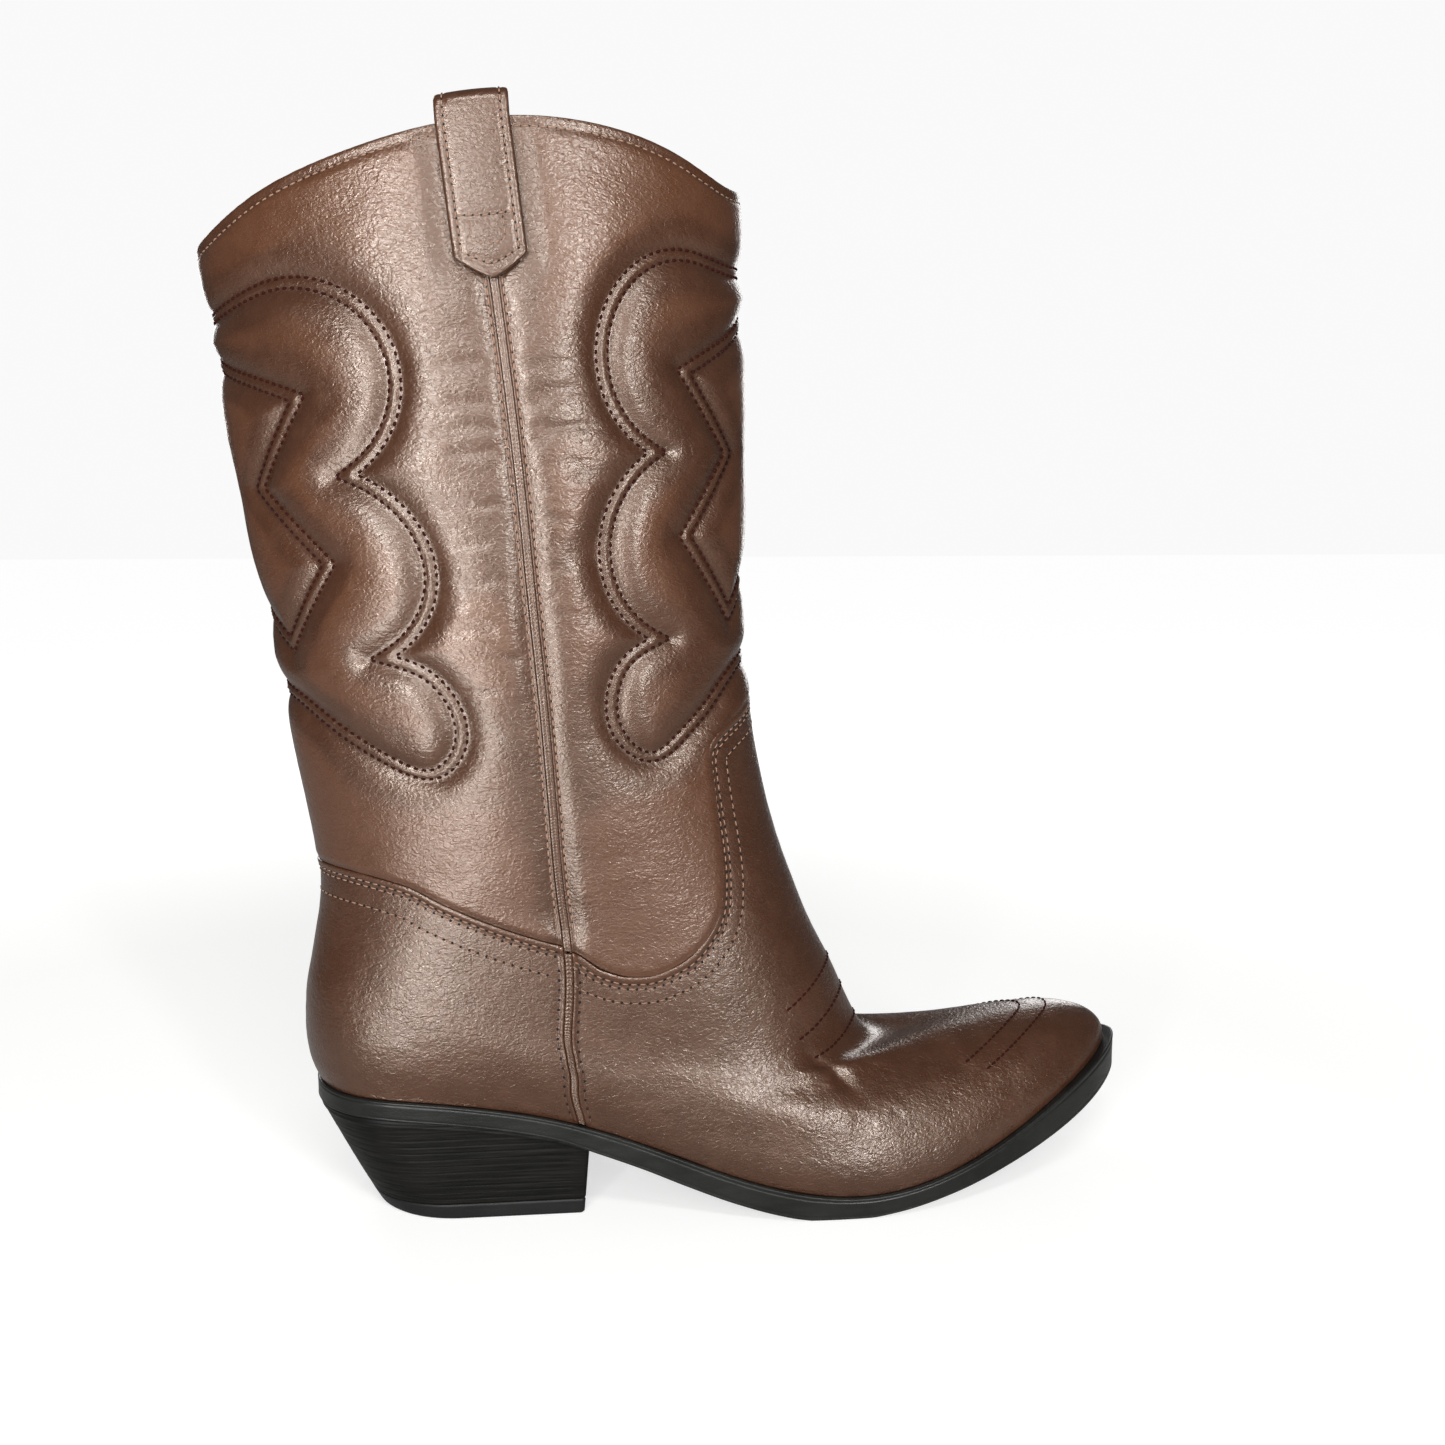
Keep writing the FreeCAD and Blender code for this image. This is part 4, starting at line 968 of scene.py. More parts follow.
def plain(name, colour, rough, grain, depth, vary, metallic=0.0):
    """One colour with a darker mottle; grain is the noise scale, depth its bump in metres."""
    m = Shader(name)
    fine = m.noise(grain)
    darker = tuple(c * (1 - vary * 2) for c in colour[:3]) + (1.0,)
    mottled = m.mix(m.ramp(m.noise(40), 0.3, 0.7), colour, darker)
    m.set(
        Base_Color=m.mix(m.ramp(fine, 0.3, 0.8, 0.0, 0.35), mottled, darker),
        Roughness=m.math("ADD", m.ramp(fine, 0.3, 0.7, -0.08, 0.08), rough),
        Normal=m.bump(fine, depth, strength=0.6),
        Metallic=metallic,
    )
    return m.material


def fabric(name, colour, dark):
    """Woven threads, level and upright."""
    m = Shader(name)
    threads = 1500.0 * 3.14159  # threads per metre, as an angle
    split = m.node("SeparateXYZ", {}, {0: m.coords()})
    level = m.math("ADD", split.outputs[0], split.outputs[1])
    waves = []
    for place in (level, split.outputs[2]):
        wave = m.math("SINE", m.math("MULTIPLY", place, threads))
        waves.append(m.math("MULTIPLY", m.math("ABSOLUTE", wave), 0.5))
    height = m.math("ADD", *waves)
    mottled = m.mix(m.ramp(m.noise(30), 0.3, 0.7), colour, dark)
    m.set(
        Base_Color=m.mix(m.ramp(height, 0.2, 0.9, 0.5, 0.0), mottled, dark),
        Roughness=0.85,
        Normal=m.bump(height, distance=0.00018, strength=0.7),
        Sheen_Weight=0.25,
    )
    return m.material


def rubber(name, base, light, rough):
    m = Shader(name)
    fine = m.noise(1400)
    scratches = m.noise(300, 5, 0.75, (0.25, 0.25, 2.2))
    colour = m.mix(m.ramp(m.noise(35, 4), 0.4, 0.75, 0.0, 0.6), base, light)
    under = m.bump(scratches, distance=0.00012, strength=0.35)
    m.set(
        Base_Color=m.mix(m.ramp(scratches, 0.62, 0.8, 0.0, 0.5), colour, light),
        Roughness=m.math("ADD", m.ramp(scratches, 0.4, 0.8, -0.05, 0.16), rough),
        Normal=m.bump(fine, distance=0.00008, strength=0.6, under=under),
        Specular_IOR_Level=0.35,
    )
    return m.material


def heel_stack(name, base, light, groove):
    """Level fibres, with the grooves between the lifts darker."""
    m = Shader(name)
    fibres = m.noise(330, 4, 0.65, (0.10, 0.10, 3.4))
    grain = m.noise(900, stretch=(0.16, 0.16, 2.2))
    colour = m.mix(m.ramp(fibres, 0.42, 0.72, 0.0, 0.75), base, light)
    colour = m.mix(m.ramp(m.relief(), -0.03, -0.22, 0.0, 0.8), colour, groove)
    under = m.bump(grain, distance=0.00012, strength=0.5)
    m.set(
        Base_Color=m.mix(m.ramp(m.noise(60), 0.5, 0.8, 0.0, 0.3), colour, light),
        Roughness=m.ramp(grain, 0.3, 0.7, 0.38, 0.55),
        Normal=m.bump(fibres, distance=0.0002, strength=0.5, under=under),
        Specular_IOR_Level=0.16,
    )
    return m.material


BROWN_DARK, BROWN_LIGHT = srgb(39, 21, 12), srgb(94, 58, 38)
TRIM_BROWN = srgb(66, 38, 23)
# key: name, colour, roughness, grain scale, bump depth, variation
PLAIN = {
    "cut_edge": ("cut_leather_edge", (62, 42, 34), 0.8, 1500, 0.0001, 0.15),
    "thread_dark": ("embroidery_thread", (52, 20, 16), 0.9, 4000, 0.00012, 0.2),
    "thread_brown": ("seam_thread", (146, 114, 94), 0.6, 4000, 0.00012, 0.15),
    "thread_low": ("foot_seam_thread", (92, 62, 50), 0.7, 4000, 0.00012, 0.15),
    # needle holes: near black, painted shade of each hole's hollow
    "hole": ("needle_hole", (24, 13, 10), 0.95, 3000, 0.00005, 0.15),
    "lining_leather": ("lining_leather", (176, 146, 112), 0.6, 700, 0.00012, 0.08),
    "foam": ("quilting_foam", (222, 214, 190), 0.95, 900, 0.0003, 0.06),
    "stiffener": ("stiffener_board", (214, 204, 178), 0.8, 600, 0.0001, 0.06),
    "fibre": ("fibre_board", (176, 152, 118), 0.9, 900, 0.0001, 0.12),
    "cork": ("cork_filler", (158, 118, 78), 0.92, 420, 0.0004, 0.25),
}
MAT = {key: plain(name, srgb(*colour), *rest) for key, (name, colour, *rest) in PLAIN.items()}
thread_surface = MAT["thread_dark"].node_tree.nodes["Principled BSDF"]
thread_surface.inputs["Specular IOR Level"].default_value = 0.08
MAT.update(
    # relief=True paints shade into the upper's grooves and a highlight onto its raised parts
    upper=leather("upper_leather", srgb(66, 37, 21), BROWN_DARK, BROWN_LIGHT, relief=True),
    strap=leather("strap_leather", TRIM_BROWN, BROWN_DARK, BROWN_LIGHT, grain=0.65),
    piping=leather("piping_leather", TRIM_BROWN, BROWN_DARK, srgb(92, 58, 39), grain=0.6),
    lining=fabric("lining_fabric", srgb(166, 140, 112), srgb(128, 104, 80)),
    steel=plain("plain_steel", (0.52, 0.52, 0.53, 1), 0.32, 1800, 0.00002, 0.08, metallic=1.0),
    sole=rubber("sole_rubber", srgb(20, 20, 19), srgb(44, 44, 42), 0.33),
    lift=rubber("top_lift_rubber", srgb(17, 17, 17), srgb(32, 32, 31), 0.5),
    heel=heel_stack("heel_stack", srgb(9, 9, 8), srgb(34, 32, 29), srgb(12, 12, 12)),
)


def soft(obj, node=None):
    """A piece of the upper: its transform goes into the mesh, and the CAD part it replaces is
    hidden.
    """
    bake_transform(obj)
    if node:
        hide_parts(node)


def rigid(obj, node):
    """A piece that rides on the foot."""
    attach(obj, "foot")
    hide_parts(node)


# ------------------------------------------------------------------ leather
STEP = 1.06
vamp = Sheet(
    "vamp_leather", lambda across, v: beside_seams(across, np.clip(v, 0.0, V_MEET), 3),
    vamp_v, 0.0, LEATHER, 430, 200, STEP * 1.2, make_vamp_relief(), strip="top")
counter = Sheet(
    "counter_leather", lambda across, v: round_back(across, np.minimum(v, 0.36)),
    counter_v, 0.0, LEATHER, 200, 84, STEP, counter_relief)
front = Sheet(
    "front_shaft_leather", lambda across, v: beside_seams(across, np.maximum(v, V_MEET), 1),
    front_v, 0.0, LEATHER, 182, 285, STEP, shaft_relief(FRONT_ROWS, FRONT_MIDDLES, 41),
    follow=True, strip="bottom")
back = Sheet(
    "back_shaft_leather", round_back, back_v, 0.0, LEATHER, 205, 225, STEP,
    shaft_relief(BACK_ROWS, BACK_MIDDLES, 51), follow=True)
for sheet, node in ((vamp, "vamp"), (counter, "counter_cover"),
                    (front, "front_shaft_panel"), (back, "back_shaft_panel")):
    soft(sheet.build(MAT["upper"]), node)


# ------------------------------------------------------------------ foam, linings, stiffeners
HIDDEN_STEP = 2.2


def hidden_sheet(label, in_front, low, high, gap, outer, inner, width, height, step, relief):
    """Sheet between two levels v, gap mm from the side seams."""
    round_boot = round_front if in_front else round_back
    return Sheet(
        label + "_piece", lambda across, v: round_boot(across, v, gap),
        lambda across, up: lerp(low, high, up), outer, inner, width, height, step, relief)


def quilted_like(owner):
    return lambda points, v, edges: pressed(owner.height(points, v))


# name, leather over it, in front, lowest v, width, height
for label, owner, in_front, low, width, height in (
    ("front_shaft_foam", front, True, 0.56, 160, 155),
    ("back_shaft_foam", back, False, 0.45, 190, 190),
):
    sheet = hidden_sheet(label, in_front, low, 0.95, 7.0, FOAM_OUT, FOAM_IN, width, height,
                         HIDDEN_STEP * 0.7, quilted_like(owner))
    soft(sheet.build(MAT["foam"]), label)

# name, in front, v from and to, width, height, how much nearer the surface, relief
for label, in_front, low, high, width, height, lift, relief in (
    ("front_shaft_lining", True, 0.235, 0.995, 175, 270, 0.0, lining_relief),
    ("back_shaft_lining", False, 0.265, 0.995, 200, 260, 0.0, lining_relief),
    ("vamp_lining", True, 0.0, 0.225, 410, 85, 0.2, None),
    ("heel_lining", False, 0.0, 0.255, 195, 52, 0.2, None),
):
    sheet = hidden_sheet(label, in_front, low, high, 0.4, LINING_OUT - lift, LINING_IN - lift,
                         width, height, HIDDEN_STEP, relief)
    soft(sheet.build(MAT["lining"]), label)

# name, node, s from and to, lowest v, highest v, drop of v to the ends, its power, size
for label, node, start, end, low, high, drop, power, width, height in (
    ("heel_counter_cup", "heel_counter_stiffener", -0.34, 0.34, 0.03, 0.235, 0.09, 3, 160, 70),
    ("toe_puff_cap", "toe_puff", 0.74, 1.26, 0.012, 0.135, 0.05, 2, 120, 50),
):
    sheet = Sheet(
        label, lambda across, v: lerp(start, end, across),
        lambda across, up: lerp(low, high - drop * np.abs(2 * across - 1) ** power, up),
        FOAM_OUT, FOAM_OUT + STIFF, width, height, HIDDEN_STEP)
    rigid(sheet.build(MAT["stiffener"]), node)


# ------------------------------------------------------------------ piping
PIPE_HALF = 1.27
PIPE_COLUMNS = [-1, -0.985, -0.93, -0.8, -0.6, -0.35, -0.15, 0,
                0.15, 0.35, 0.6, 0.8, 0.93, 0.985, 1]


def piping(name, node, side, low, high, dome_share, rib_height, sink, in_valley):
    """Ribbed cord over a side seam, from v low to high."""
    length = V_MM * (high - low)
    shares = np.linspace(0, 1, int(length / (0.27)))
    up, across = np.meshgrid(shares, PIPE_COLUMNS, indexing="ij")
    v = lerp(low, high, up)
    s = seam_s(v, across * PIPE_HALF, side)
    run = up * length
    dome = 0.5 * np.sqrt(np.clip(1 - (across * 0.97) ** 2, 0, 1))
    wave = np.abs(np.sin(np.pi * (run + np.abs(across) * 0.9) / 1.35)) - 0.5
    rib = rib_height * wave * (1 - np.abs(across) ** 6)
    groove = -0.12 * np.exp(-(across / 0.16) ** 2)
    height = dome * dome_share + rib + groove - sink
    valley = smooth(0, 9, length - run) * smooth(0, 10, run) if in_valley else 0.0
    outer, inner = at(s, v, valley - height), at(s, v, 1.15 + valley)
    for border in (np.s_[0], np.s_[:, 0], np.s_[-1]):
        outer[border] = (outer[border] + inner[border]) / 2
    soft(new_mesh(name, *shell(outer, inner), [MAT["piping"]]), node)


for side, label in ((-1, "lateral"), (1, "medial")):
    piping(label + "_shaft_seam_piping", label + "_shaft_piping", side, 0.2985, 0.998,
           dome_share=0.55, rib_height=0.10, sink=0.42, in_valley=True)
    piping(label + "_foot_seam_piping", label + "_foot_piping", side, 0.004, 0.2975,
           dome_share=0.9, rib_height=0.24, sink=0.12, in_valley=False)


# ------------------------------------------------------------------ stitches
def stitch_shape():
    """One unit stitch: length along x from -1 to 1, ends dipping down."""
    rings, around = 7, 6
    points, faces = [], []
    for i in range(rings):
        x = -1 + 2 * i / (rings - 1)
        radius = max(max(0.0, 1 - abs(x) ** 3.0) ** 0.5, 0.28)
        for j in range(around):
            t = 2 * math.pi * j / around
            z = math.sin(t) * radius * 0.8 - 0.9 * abs(x) ** 3
            points.append((x, math.cos(t) * radius, z))
    for i in range(rings - 1):
        here, after = i * around, (i + 1) * around
        for j in range(around):
            k = (j + 1) % around
            faces.append((here + j, here + k, after + k, after + j))
    tip, last = len(points), (rings - 1) * around
    points += [(-1.03, 0, -0.95), (1.03, 0, -0.95)]
    for j in range(0, around, 2):
        k = (j + 2) % around
        faces.append((tip, k, (j + 1) % around, j))
        faces.append((tip + 1, last + j, last + j + 1, last + k))
    return np.array(points), np.array(faces)


def hole_shape():
    """A small six-sided double cone."""
    ring = [(math.cos(t), math.sin(t), 0) for t in np.arange(6) * math.pi / 3]
    faces = []
    for j in range(0, 6, 2):
        side = (1 + j, 1 + (j + 1) % 6, 1 + (j + 2) % 6)
        faces += [(0, *side), (7, *side[::-1])]
    return np.array([(0, 0, 0.5)] + ring + [(0, 0, -1)]), np.array(faces)


STITCH_POINTS, STITCH_FACES = stitch_shape()
HOLE_POINTS, HOLE_FACES = hole_shape()


def axes_of(tangents, normals):
    tangents = unit(tangents)
    sides = unit(np.cross(normals, tangents))
    return tangents, sides, np.cross(tangents, sides)


def stamp(shapes, centres, axes, faces):
    """Copies of a shape, set along the axes at the centres."""
    points = centres[:, None] + shapes @ np.stack(axes, 1)
    first = np.arange(len(centres)) * points.shape[1]
    return points.reshape(-1, 3), (faces[None] + first[:, None, None]).reshape(-1, 4)


def stitch_mesh(name, runs, thread, pitch, fill, radius, seed, hole=None):
    """Separate stitches along runs of (points, normals), and a dark disc of radius hole over each
    needle hole, painted shade of its hollow.
    fill is a stitch's share of the pitch."""
    centres, spans, ups, holes = [], [], [], []
    for points, normals in runs:
        length = run_length(points)
        if length[-1] < 0.9:
            continue
        count = max(1, int(round(length[-1] / pitch)))

        def sample(columns, share):
            places = (np.arange(count) + share) * (length[-1] / count)
            return np.stack([np.interp(places, length, column) for column in columns.T], -1)

        start, middle, end = (sample(points, 0.5 + fill * k) for k in (-0.5, 0, 0.5))
        centres.append((start + end) / 2 * 0.5 + middle * 0.5)
        spans.append(end - start)
        ups.append(unit(sample(normals, 0.5)))
        holes.append(sample(points, 1.0))
    centres, spans, ups, holes = (np.concatenate(part) for part in (centres, spans, ups, holes))
    along, across, up = axes_of(spans, ups)
    tilt = np.random.RandomState(seed).normal(0, 0.035, len(centres))[:, None]
    tilted = (along * np.cos(tilt) + across * np.sin(tilt),
              across * np.cos(tilt) - along * np.sin(tilt), up)
    half = np.linalg.norm(spans, axis=-1) / 2
    sizes = np.stack([half, 0 * half + radius, 0 * half + radius], -1)
    lift = radius * 0.5 + 0.04
    shapes = STITCH_POINTS * sizes[:, None] + (0, 0, lift)
    points, faces = stamp(shapes, centres, tilted, STITCH_FACES)
    slots = np.zeros(len(faces), int)
    materials = [thread]
    if hole:
        # dark discs just over the surface at the needle holes: painted shade
        shape = HOLE_POINTS * (hole, hole, 0.20) + (0, 0, 0.10)
        dots, dot_faces = stamp(shape, holes, (along, across, up), HOLE_FACES)
        faces = np.concatenate([faces, dot_faces + len(points)])
        points = np.concatenate([points, dots])
        slots = np.concatenate([slots, np.ones(len(dot_faces), int)])
        materials.append(MAT["hole"])
    return new_mesh(name, points, faces, materials, face_materials=slots)


def on_sheet(sheet, s, v):
    points, normals = surface(s, v)
    return points + normals * sheet.height(points, v)[..., None], normals


def seam_rows(sheet, side, mm, low, high):
    v = np.linspace(low, high, 500)
    return on_sheet(sheet, seam_s(v, mm, side), v)


def edge_rows(sheet, *rows):
    """Rows (mm below the sheet's top edge, samples trimmed from each end)."""
    s, v = sheet.curves["top"]
    return [on_sheet(sheet, *offset_curve(s[trim:-trim], v[trim:-trim], mm))
            for mm, trim in rows]


def sew(name, runs, thread, **stitch):
    soft(stitch_mesh(name, runs, MAT[thread], **stitch))


embroidery = dict(pitch=2.6, fill=0.64, radius=0.42)
sew("front_embroidery", [on_sheet(front, *row) for row in FRONT_ROWS], "thread_dark",
    seed=8, **embroidery)
sew("back_embroidery", [on_sheet(back, *row) for row in BACK_ROWS], "thread_dark",
    seed=9, **embroidery)

# rows each side of the side seams
shaft_off, foot_off = SEAM_GAP + 1.15, SEAM_GAP + 2.0
runs = []
for side in (-1, 1):
    runs.append(seam_rows(front, side, shaft_off, 0.318, 0.992))
    runs.append(seam_rows(back, side, -shaft_off, 0.332, 0.992))
sew("shaft_seam_stitching", runs, "thread_brown",
    pitch=2.75, fill=0.80, radius=0.36, seed=10, hole=0.36)
runs = []
for side in (-1, 1):
    runs.append(seam_rows(vamp, side, foot_off, 0.006, 0.282))
    runs.append(seam_rows(counter, side, -foot_off, 0.006, 0.282))
sew("foot_seam_stitching", runs, "thread_low",
    pitch=3.2, fill=0.62, radius=0.22, seed=11, hole=0.52)

# rows below the upper edges
edge_stitch = dict(pitch=2.9, fill=0.66, radius=0.25, hole=0.46)
sew("vamp_edge_stitching", edge_rows(vamp, (2.5, 5), (4.1, 5), (8.7, 9)), "thread_brown",
    seed=12, **edge_stitch)
sew("counter_edge_stitching", edge_rows(counter, (2.2, 5), (3.8, 5), (10.3, 7)), "thread_brown",
    seed=13, **edge_stitch)
sew("rim_stitching", edge_rows(front, (3.1, 6)) + edge_rows(back, (3.1, 6)), "thread_brown",
    pitch=2.6, fill=0.74, radius=0.26, seed=14, hole=0.27)

# three even rows across the instep and two over the toe box: (u, v) of the top one, drops in v
TOE_ROWS = [
    ([(0.76, 0.262), (0.84, 0.276), (0.92, 0.285), (1.0, 0.288)], (0.0, 0.02, 0.04)),
    ([(0.76, 0.112), (0.84, 0.120), (0.92, 0.125), (1.0, 0.127)], (0.0, 0.018)),
]
runs = []
for line, drops in TOE_ROWS:
    for drop in drops:
        u, v = through(np.array(line) - (0, drop), 200, scale=(200, V_MM))
        runs += [on_sheet(vamp, on_side(u, side), v) for side in (-1, 1)]
sew("toe_stitching", runs, "thread_dark", pitch=2.5, fill=0.84, radius=0.35, seed=15)


# ------------------------------------------------------------------ pull straps
STRAP_THICK, STRAP_HALF, STRAP_RISE, STRAP_LEG = 1.45, 21.5 / 2, 6.4, 39.5
STRAP_OUT = -(0.7 + GAP + 0.9)  # depth of the leg outside the shaft, and of the one inside
STRAP_IN = LINING_IN + 1.1
LOOP_R, LOOP_DEPTH = (STRAP_IN - STRAP_OUT) / 2, (STRAP_IN + STRAP_OUT) / 2
LOOP_TOP = STRAP_RISE + LOOP_R * 0.2


def strap_path():
    """(height over the rim, depth) up the outside, over and down the inside; outer heights."""
    start = LOOP_TOP - LOOP_R
    rise = [-STRAP_LEG + x for x in (0, 0.06, 0.2, 0.45)]
    rise += [lerp(-STRAP_LEG + 0.9, start, k / 46.0) for k in range(46)]
    path = [(height, STRAP_OUT) for height in rise]
    for k in range(21):
        t = math.pi * k / 20
        path.append((start + LOOP_R * math.sin(t), LOOP_DEPTH - LOOP_R * math.cos(t)))
    fall = [lerp(start, -STRAP_LEG + 0.6, k / 36.0) for k in range(1, 37)]
    fall += [-STRAP_LEG + x for x in (0.25, 0.08, 0)]
    return path + [(height, STRAP_IN) for height in fall], rise


def strap(side, name, node):
    path, rise = strap_path()
    turn, count = len(rise), len(path)
    border = [0.86, 0.91, 0.955, 0.985, 1]
    widths = np.concatenate([[-w for w in reversed(border)], np.linspace(-0.80, 0.80, 25), border])

    def place(i, w, off):
        """Point of path row i, at share w of the half width, off mm inwards."""
        height, depth = path[i]
        (h0, d0), (h1, d1) = path[max(i - 1, 0)], path[min(i + 1, count - 1)]
        length = math.hypot(h1 - h0, d1 - d0)
        tip = 0.0
        if i < turn:  # the outer end is pointed
            tip = 7.0 * (1 - np.abs(w) ** 1.3) * max(0.0, 1 - (height + STRAP_LEG) / 14.0)
        height = height - tip - (d1 - d0) / length * off
        depth = depth + (h1 - h0) / length * off
        v = 1 + height / V_MM
        low_v = np.minimum(v, 1.0)
        s = SEAM(low_v)
        s = on_side(s + w * STRAP_HALF * per_mm(s, low_v), side)
        upward = unit(at(s, 1.0) - at(s, 0.97))
        return at(s, low_v, depth) + upward * np.where(v > 1, height, 0)[..., None]

    # the end rows close the cut ends; soft grooves run under the stitching
    edge = (1 - np.abs(widths)) * STRAP_HALF
    half = STRAP_THICK / 2 * rounding(edge, STRAP_THICK / 2)
    closing = {0: 0.0, 1: 0.55, 2: 0.85, count - 1: 0.0, count - 2: 0.7}
    outer, inner = [], []
    for i in range(count):
        puff = 0.16 * smooth(0, 2.0, edge) - 0.28 * bump(edge, 2.6, 0.6)
        if i < turn:
            from_tip = path[i][0] + STRAP_LEG
            puff = puff - 0.25 * bump(from_tip, 2.6, 0.6)
            puff = puff - 0.25 * bump(from_tip, 11.5, 0.6) * (edge > 2.6)
        end = closing.get(i, 1.0)
        outer.append(place(i, widths, -(half + puff) * end))
        inner.append(place(i, widths, half * end))
    obj = new_mesh(name, *shell(np.array(outer), np.array(inner)), [MAT["strap"]])
    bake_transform(obj)
    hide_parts(node)

    # edge rows, two cross rows and an open box at the lower end
    def run(line):
        points = np.concatenate([place(i, np.array([w]), -(STRAP_THICK / 2 + 0.02))
                                 for i, w in line])
        inside = np.concatenate([place(i, np.array([w]), 0.0) for i, w in line])
        return points, unit(points - inside)

    def row_at(mm):
        return int(np.argmin([abs(height + STRAP_LEG - mm) for height in rise]))

    low, middle, high = row_at(2.6), row_at(6.4), row_at(11.5)
    row_w, box_w = 0.762, 0.45
    lines = [[(i, w) for i in range(low, turn + 24)] for w in (-row_w, row_w)]
    lines += [[(i, w) for w in np.linspace(-row_w, row_w, 40)] for i in (low, high)]
    lines.append(
        [(i, -box_w) for i in range(high - 1, middle, -1)]
        + [(middle, w) for w in np.linspace(-box_w, box_w, 24)]
        + [(i, box_w) for i in range(middle + 1, high)])
    thread = stitch_mesh(name + "_stitching", [run(line) for line in lines], MAT["thread_brown"],
                         pitch=2.4, fill=0.72, radius=0.30, seed=16, hole=0.34)
    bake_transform(thread)


strap(-1, "lateral_pull_strap_loop", "lateral_pull_strap")
strap(1, "medial_pull_strap_loop", "medial_pull_strap")


# ------------------------------------------------------------------ sole and sock lining
def plan(widen, count):
    """Outline of the feather line seen from above, widened by widen(u), and its normals."""
    s = np.arange(count) * 2.0 / count
    tangent = unit((at(s + 2e-3, 0 * s) - at(s - 2e-3, 0 * s))[:, :2])
    normals = np.stack([tangent[:, 1], -tangent[:, 0]], -1)
    return at(s, 0 * s)[:, :2] + normals * widen(half_u(s))[:, None], normals


def plan_ring(outline, normals, inset, height_of):
    points = outline - normals * inset
    return np.concatenate([points, height_of(points[:, 0])[:, None]], -1)


def sole_widen(u):
    return 0.9 + 0.8 * np.minimum(1, u / 0.3) + 2.4 * np.maximum(0, (u - 0.6) / 0.4) ** 1.5


def sole_top(x):
    return FEATHER_Z(x) - 0.1


def sole_bottom(x):
    return np.maximum(SOLE_Z(x), 0.0)


# top rings: inset, rise, share of the knurl
SOLE_TOP_RINGS = [(6.0, 0.0, 0), (2.2, 0.0, 0), (0.95, 0.0, 0.6), (0.45, -0.05, 1),
                  (0.15, -0.20, 0.5), (0.02, -0.45, 0)]
SOLE_WALL = (0.13, 0.16, 0.19, 0.25, 0.35, 0.45, 0.55, 0.65, 0.75, 0.84, 0.87, 0.90)
# bottom rings: inset, rise
SOLE_BOTTOM_RINGS = [(0.05, 0.50), (0.18, 0.22), (0.45, 0.05), (0.9, 0.0), (2.2, 0.0)]


def build_sole():
    outline, normals = plan(sole_widen, 960)
    knurl = 0.10 * (np.abs(np.sin(np.pi * run_length(outline) / 1.1)) - 0.5)
    rings = []
    for inset, rise, share in SOLE_TOP_RINGS:
        rings.append(plan_ring(outline, normals, inset,
                               lambda x: sole_top(x) + (rise + knurl * share)))
    for f in SOLE_WALL:
        # grooves near the top and bottom, and a slight hollow
        dent = 0.30 * bump(f, 0.16, 0.02) + 0.16 * bump(f, 0.86, 0.018)
        dent = dent + 0.10 * math.sin(math.pi * f)
        rings.append(plan_ring(outline, normals, dent,
                               lambda x: lerp(sole_top(x), sole_bottom(x), f)))
    for inset, rise in SOLE_BOTTOM_RINGS:
        rings.append(plan_ring(outline, normals, inset, lambda x: sole_bottom(x) + rise))
    return ring_mesh("outsole_rubber", rings, MAT["sole"])


rigid(build_sole(), "outsole")

# ------------------------------------------------------------------ heel
LIFT_TOP, HEEL_LOW = 5.0, 5.05
CORNER_R = 1.4


def breast_x(z):
    """x of the heel's front face."""
    return 30.2 + 3.2 * z / 40.0


def heel_outline(z):
    """Closed outline at height z, from the middle of the back round the lateral side."""
    back_x = -39.0 - 19.4 * (z / 37.0) ** 0.93
    width = 27.5 + 2.9 * z / 40.0
    front_x = breast_x(z)
    t = np.linspace(math.pi / 2, 0, 60)
    round_back_half = np.stack([back_x + 30.0 - 30.0 * np.sin(t) ** 0.94,
                                -width * np.cos(t)], -1)
    flank_x = np.linspace(back_x + 30.0, front_x - CORNER_R, 40)[1:]
    flank = np.stack([flank_x, np.full(39, -width)], -1)
    t = np.linspace(0, math.pi / 2, 9)[1:]
    corner = np.stack([front_x - CORNER_R + CORNER_R * np.sin(t),
                       -width + CORNER_R * (1 - np.cos(t))], -1)
    y = np.linspace(-width + CORNER_R, 0, 20)[1:]
    breast = np.stack([front_x - 1.6 * (1 - (y / width) ** 2), y], -1)
    lateral = np.concatenate([round_back_half, flank, corner, breast])
    return np.concatenate([lateral, lateral[1:-1][::-1] * (1, -1)])


def heel_piece(name, node, material, low, top_of, shares, swell_of):
    """Heel between low and top_of(x); swell_of(outline, z, up, below top) pushes the wall out."""
    rings, relief = [], []
    for share in shares:
        z = np.full(len(heel_outline(20.0)), 20.0)
        for _ in range(4):  # the outline and its heights settle together
            if np.ptp(z) > 1e-6:
                outline = np.array([heel_outline(max(h, 0.0))[i] for i, h in enumerate(z)])
            else:
                outline = heel_outline(max(z[0], 0.0))
            z = low + (top_of(outline[:, 0]) - low) * share
        tangent = unit(np.roll(outline, -1, axis=0) - np.roll(outline, 1, axis=0))
        outward = np.stack([tangent[:, 1], -tangent[:, 0]], -1)
        swell = swell_of(outline, z, z - low, top_of(outline[:, 0]) - z)
        points = outline + outward * swell[:, None]
        rings.append(np.concatenate([points, z[:, None]], -1))
        relief.append(swell)
    rigid(ring_mesh(name, rings, material, np.concatenate(relief)), node)


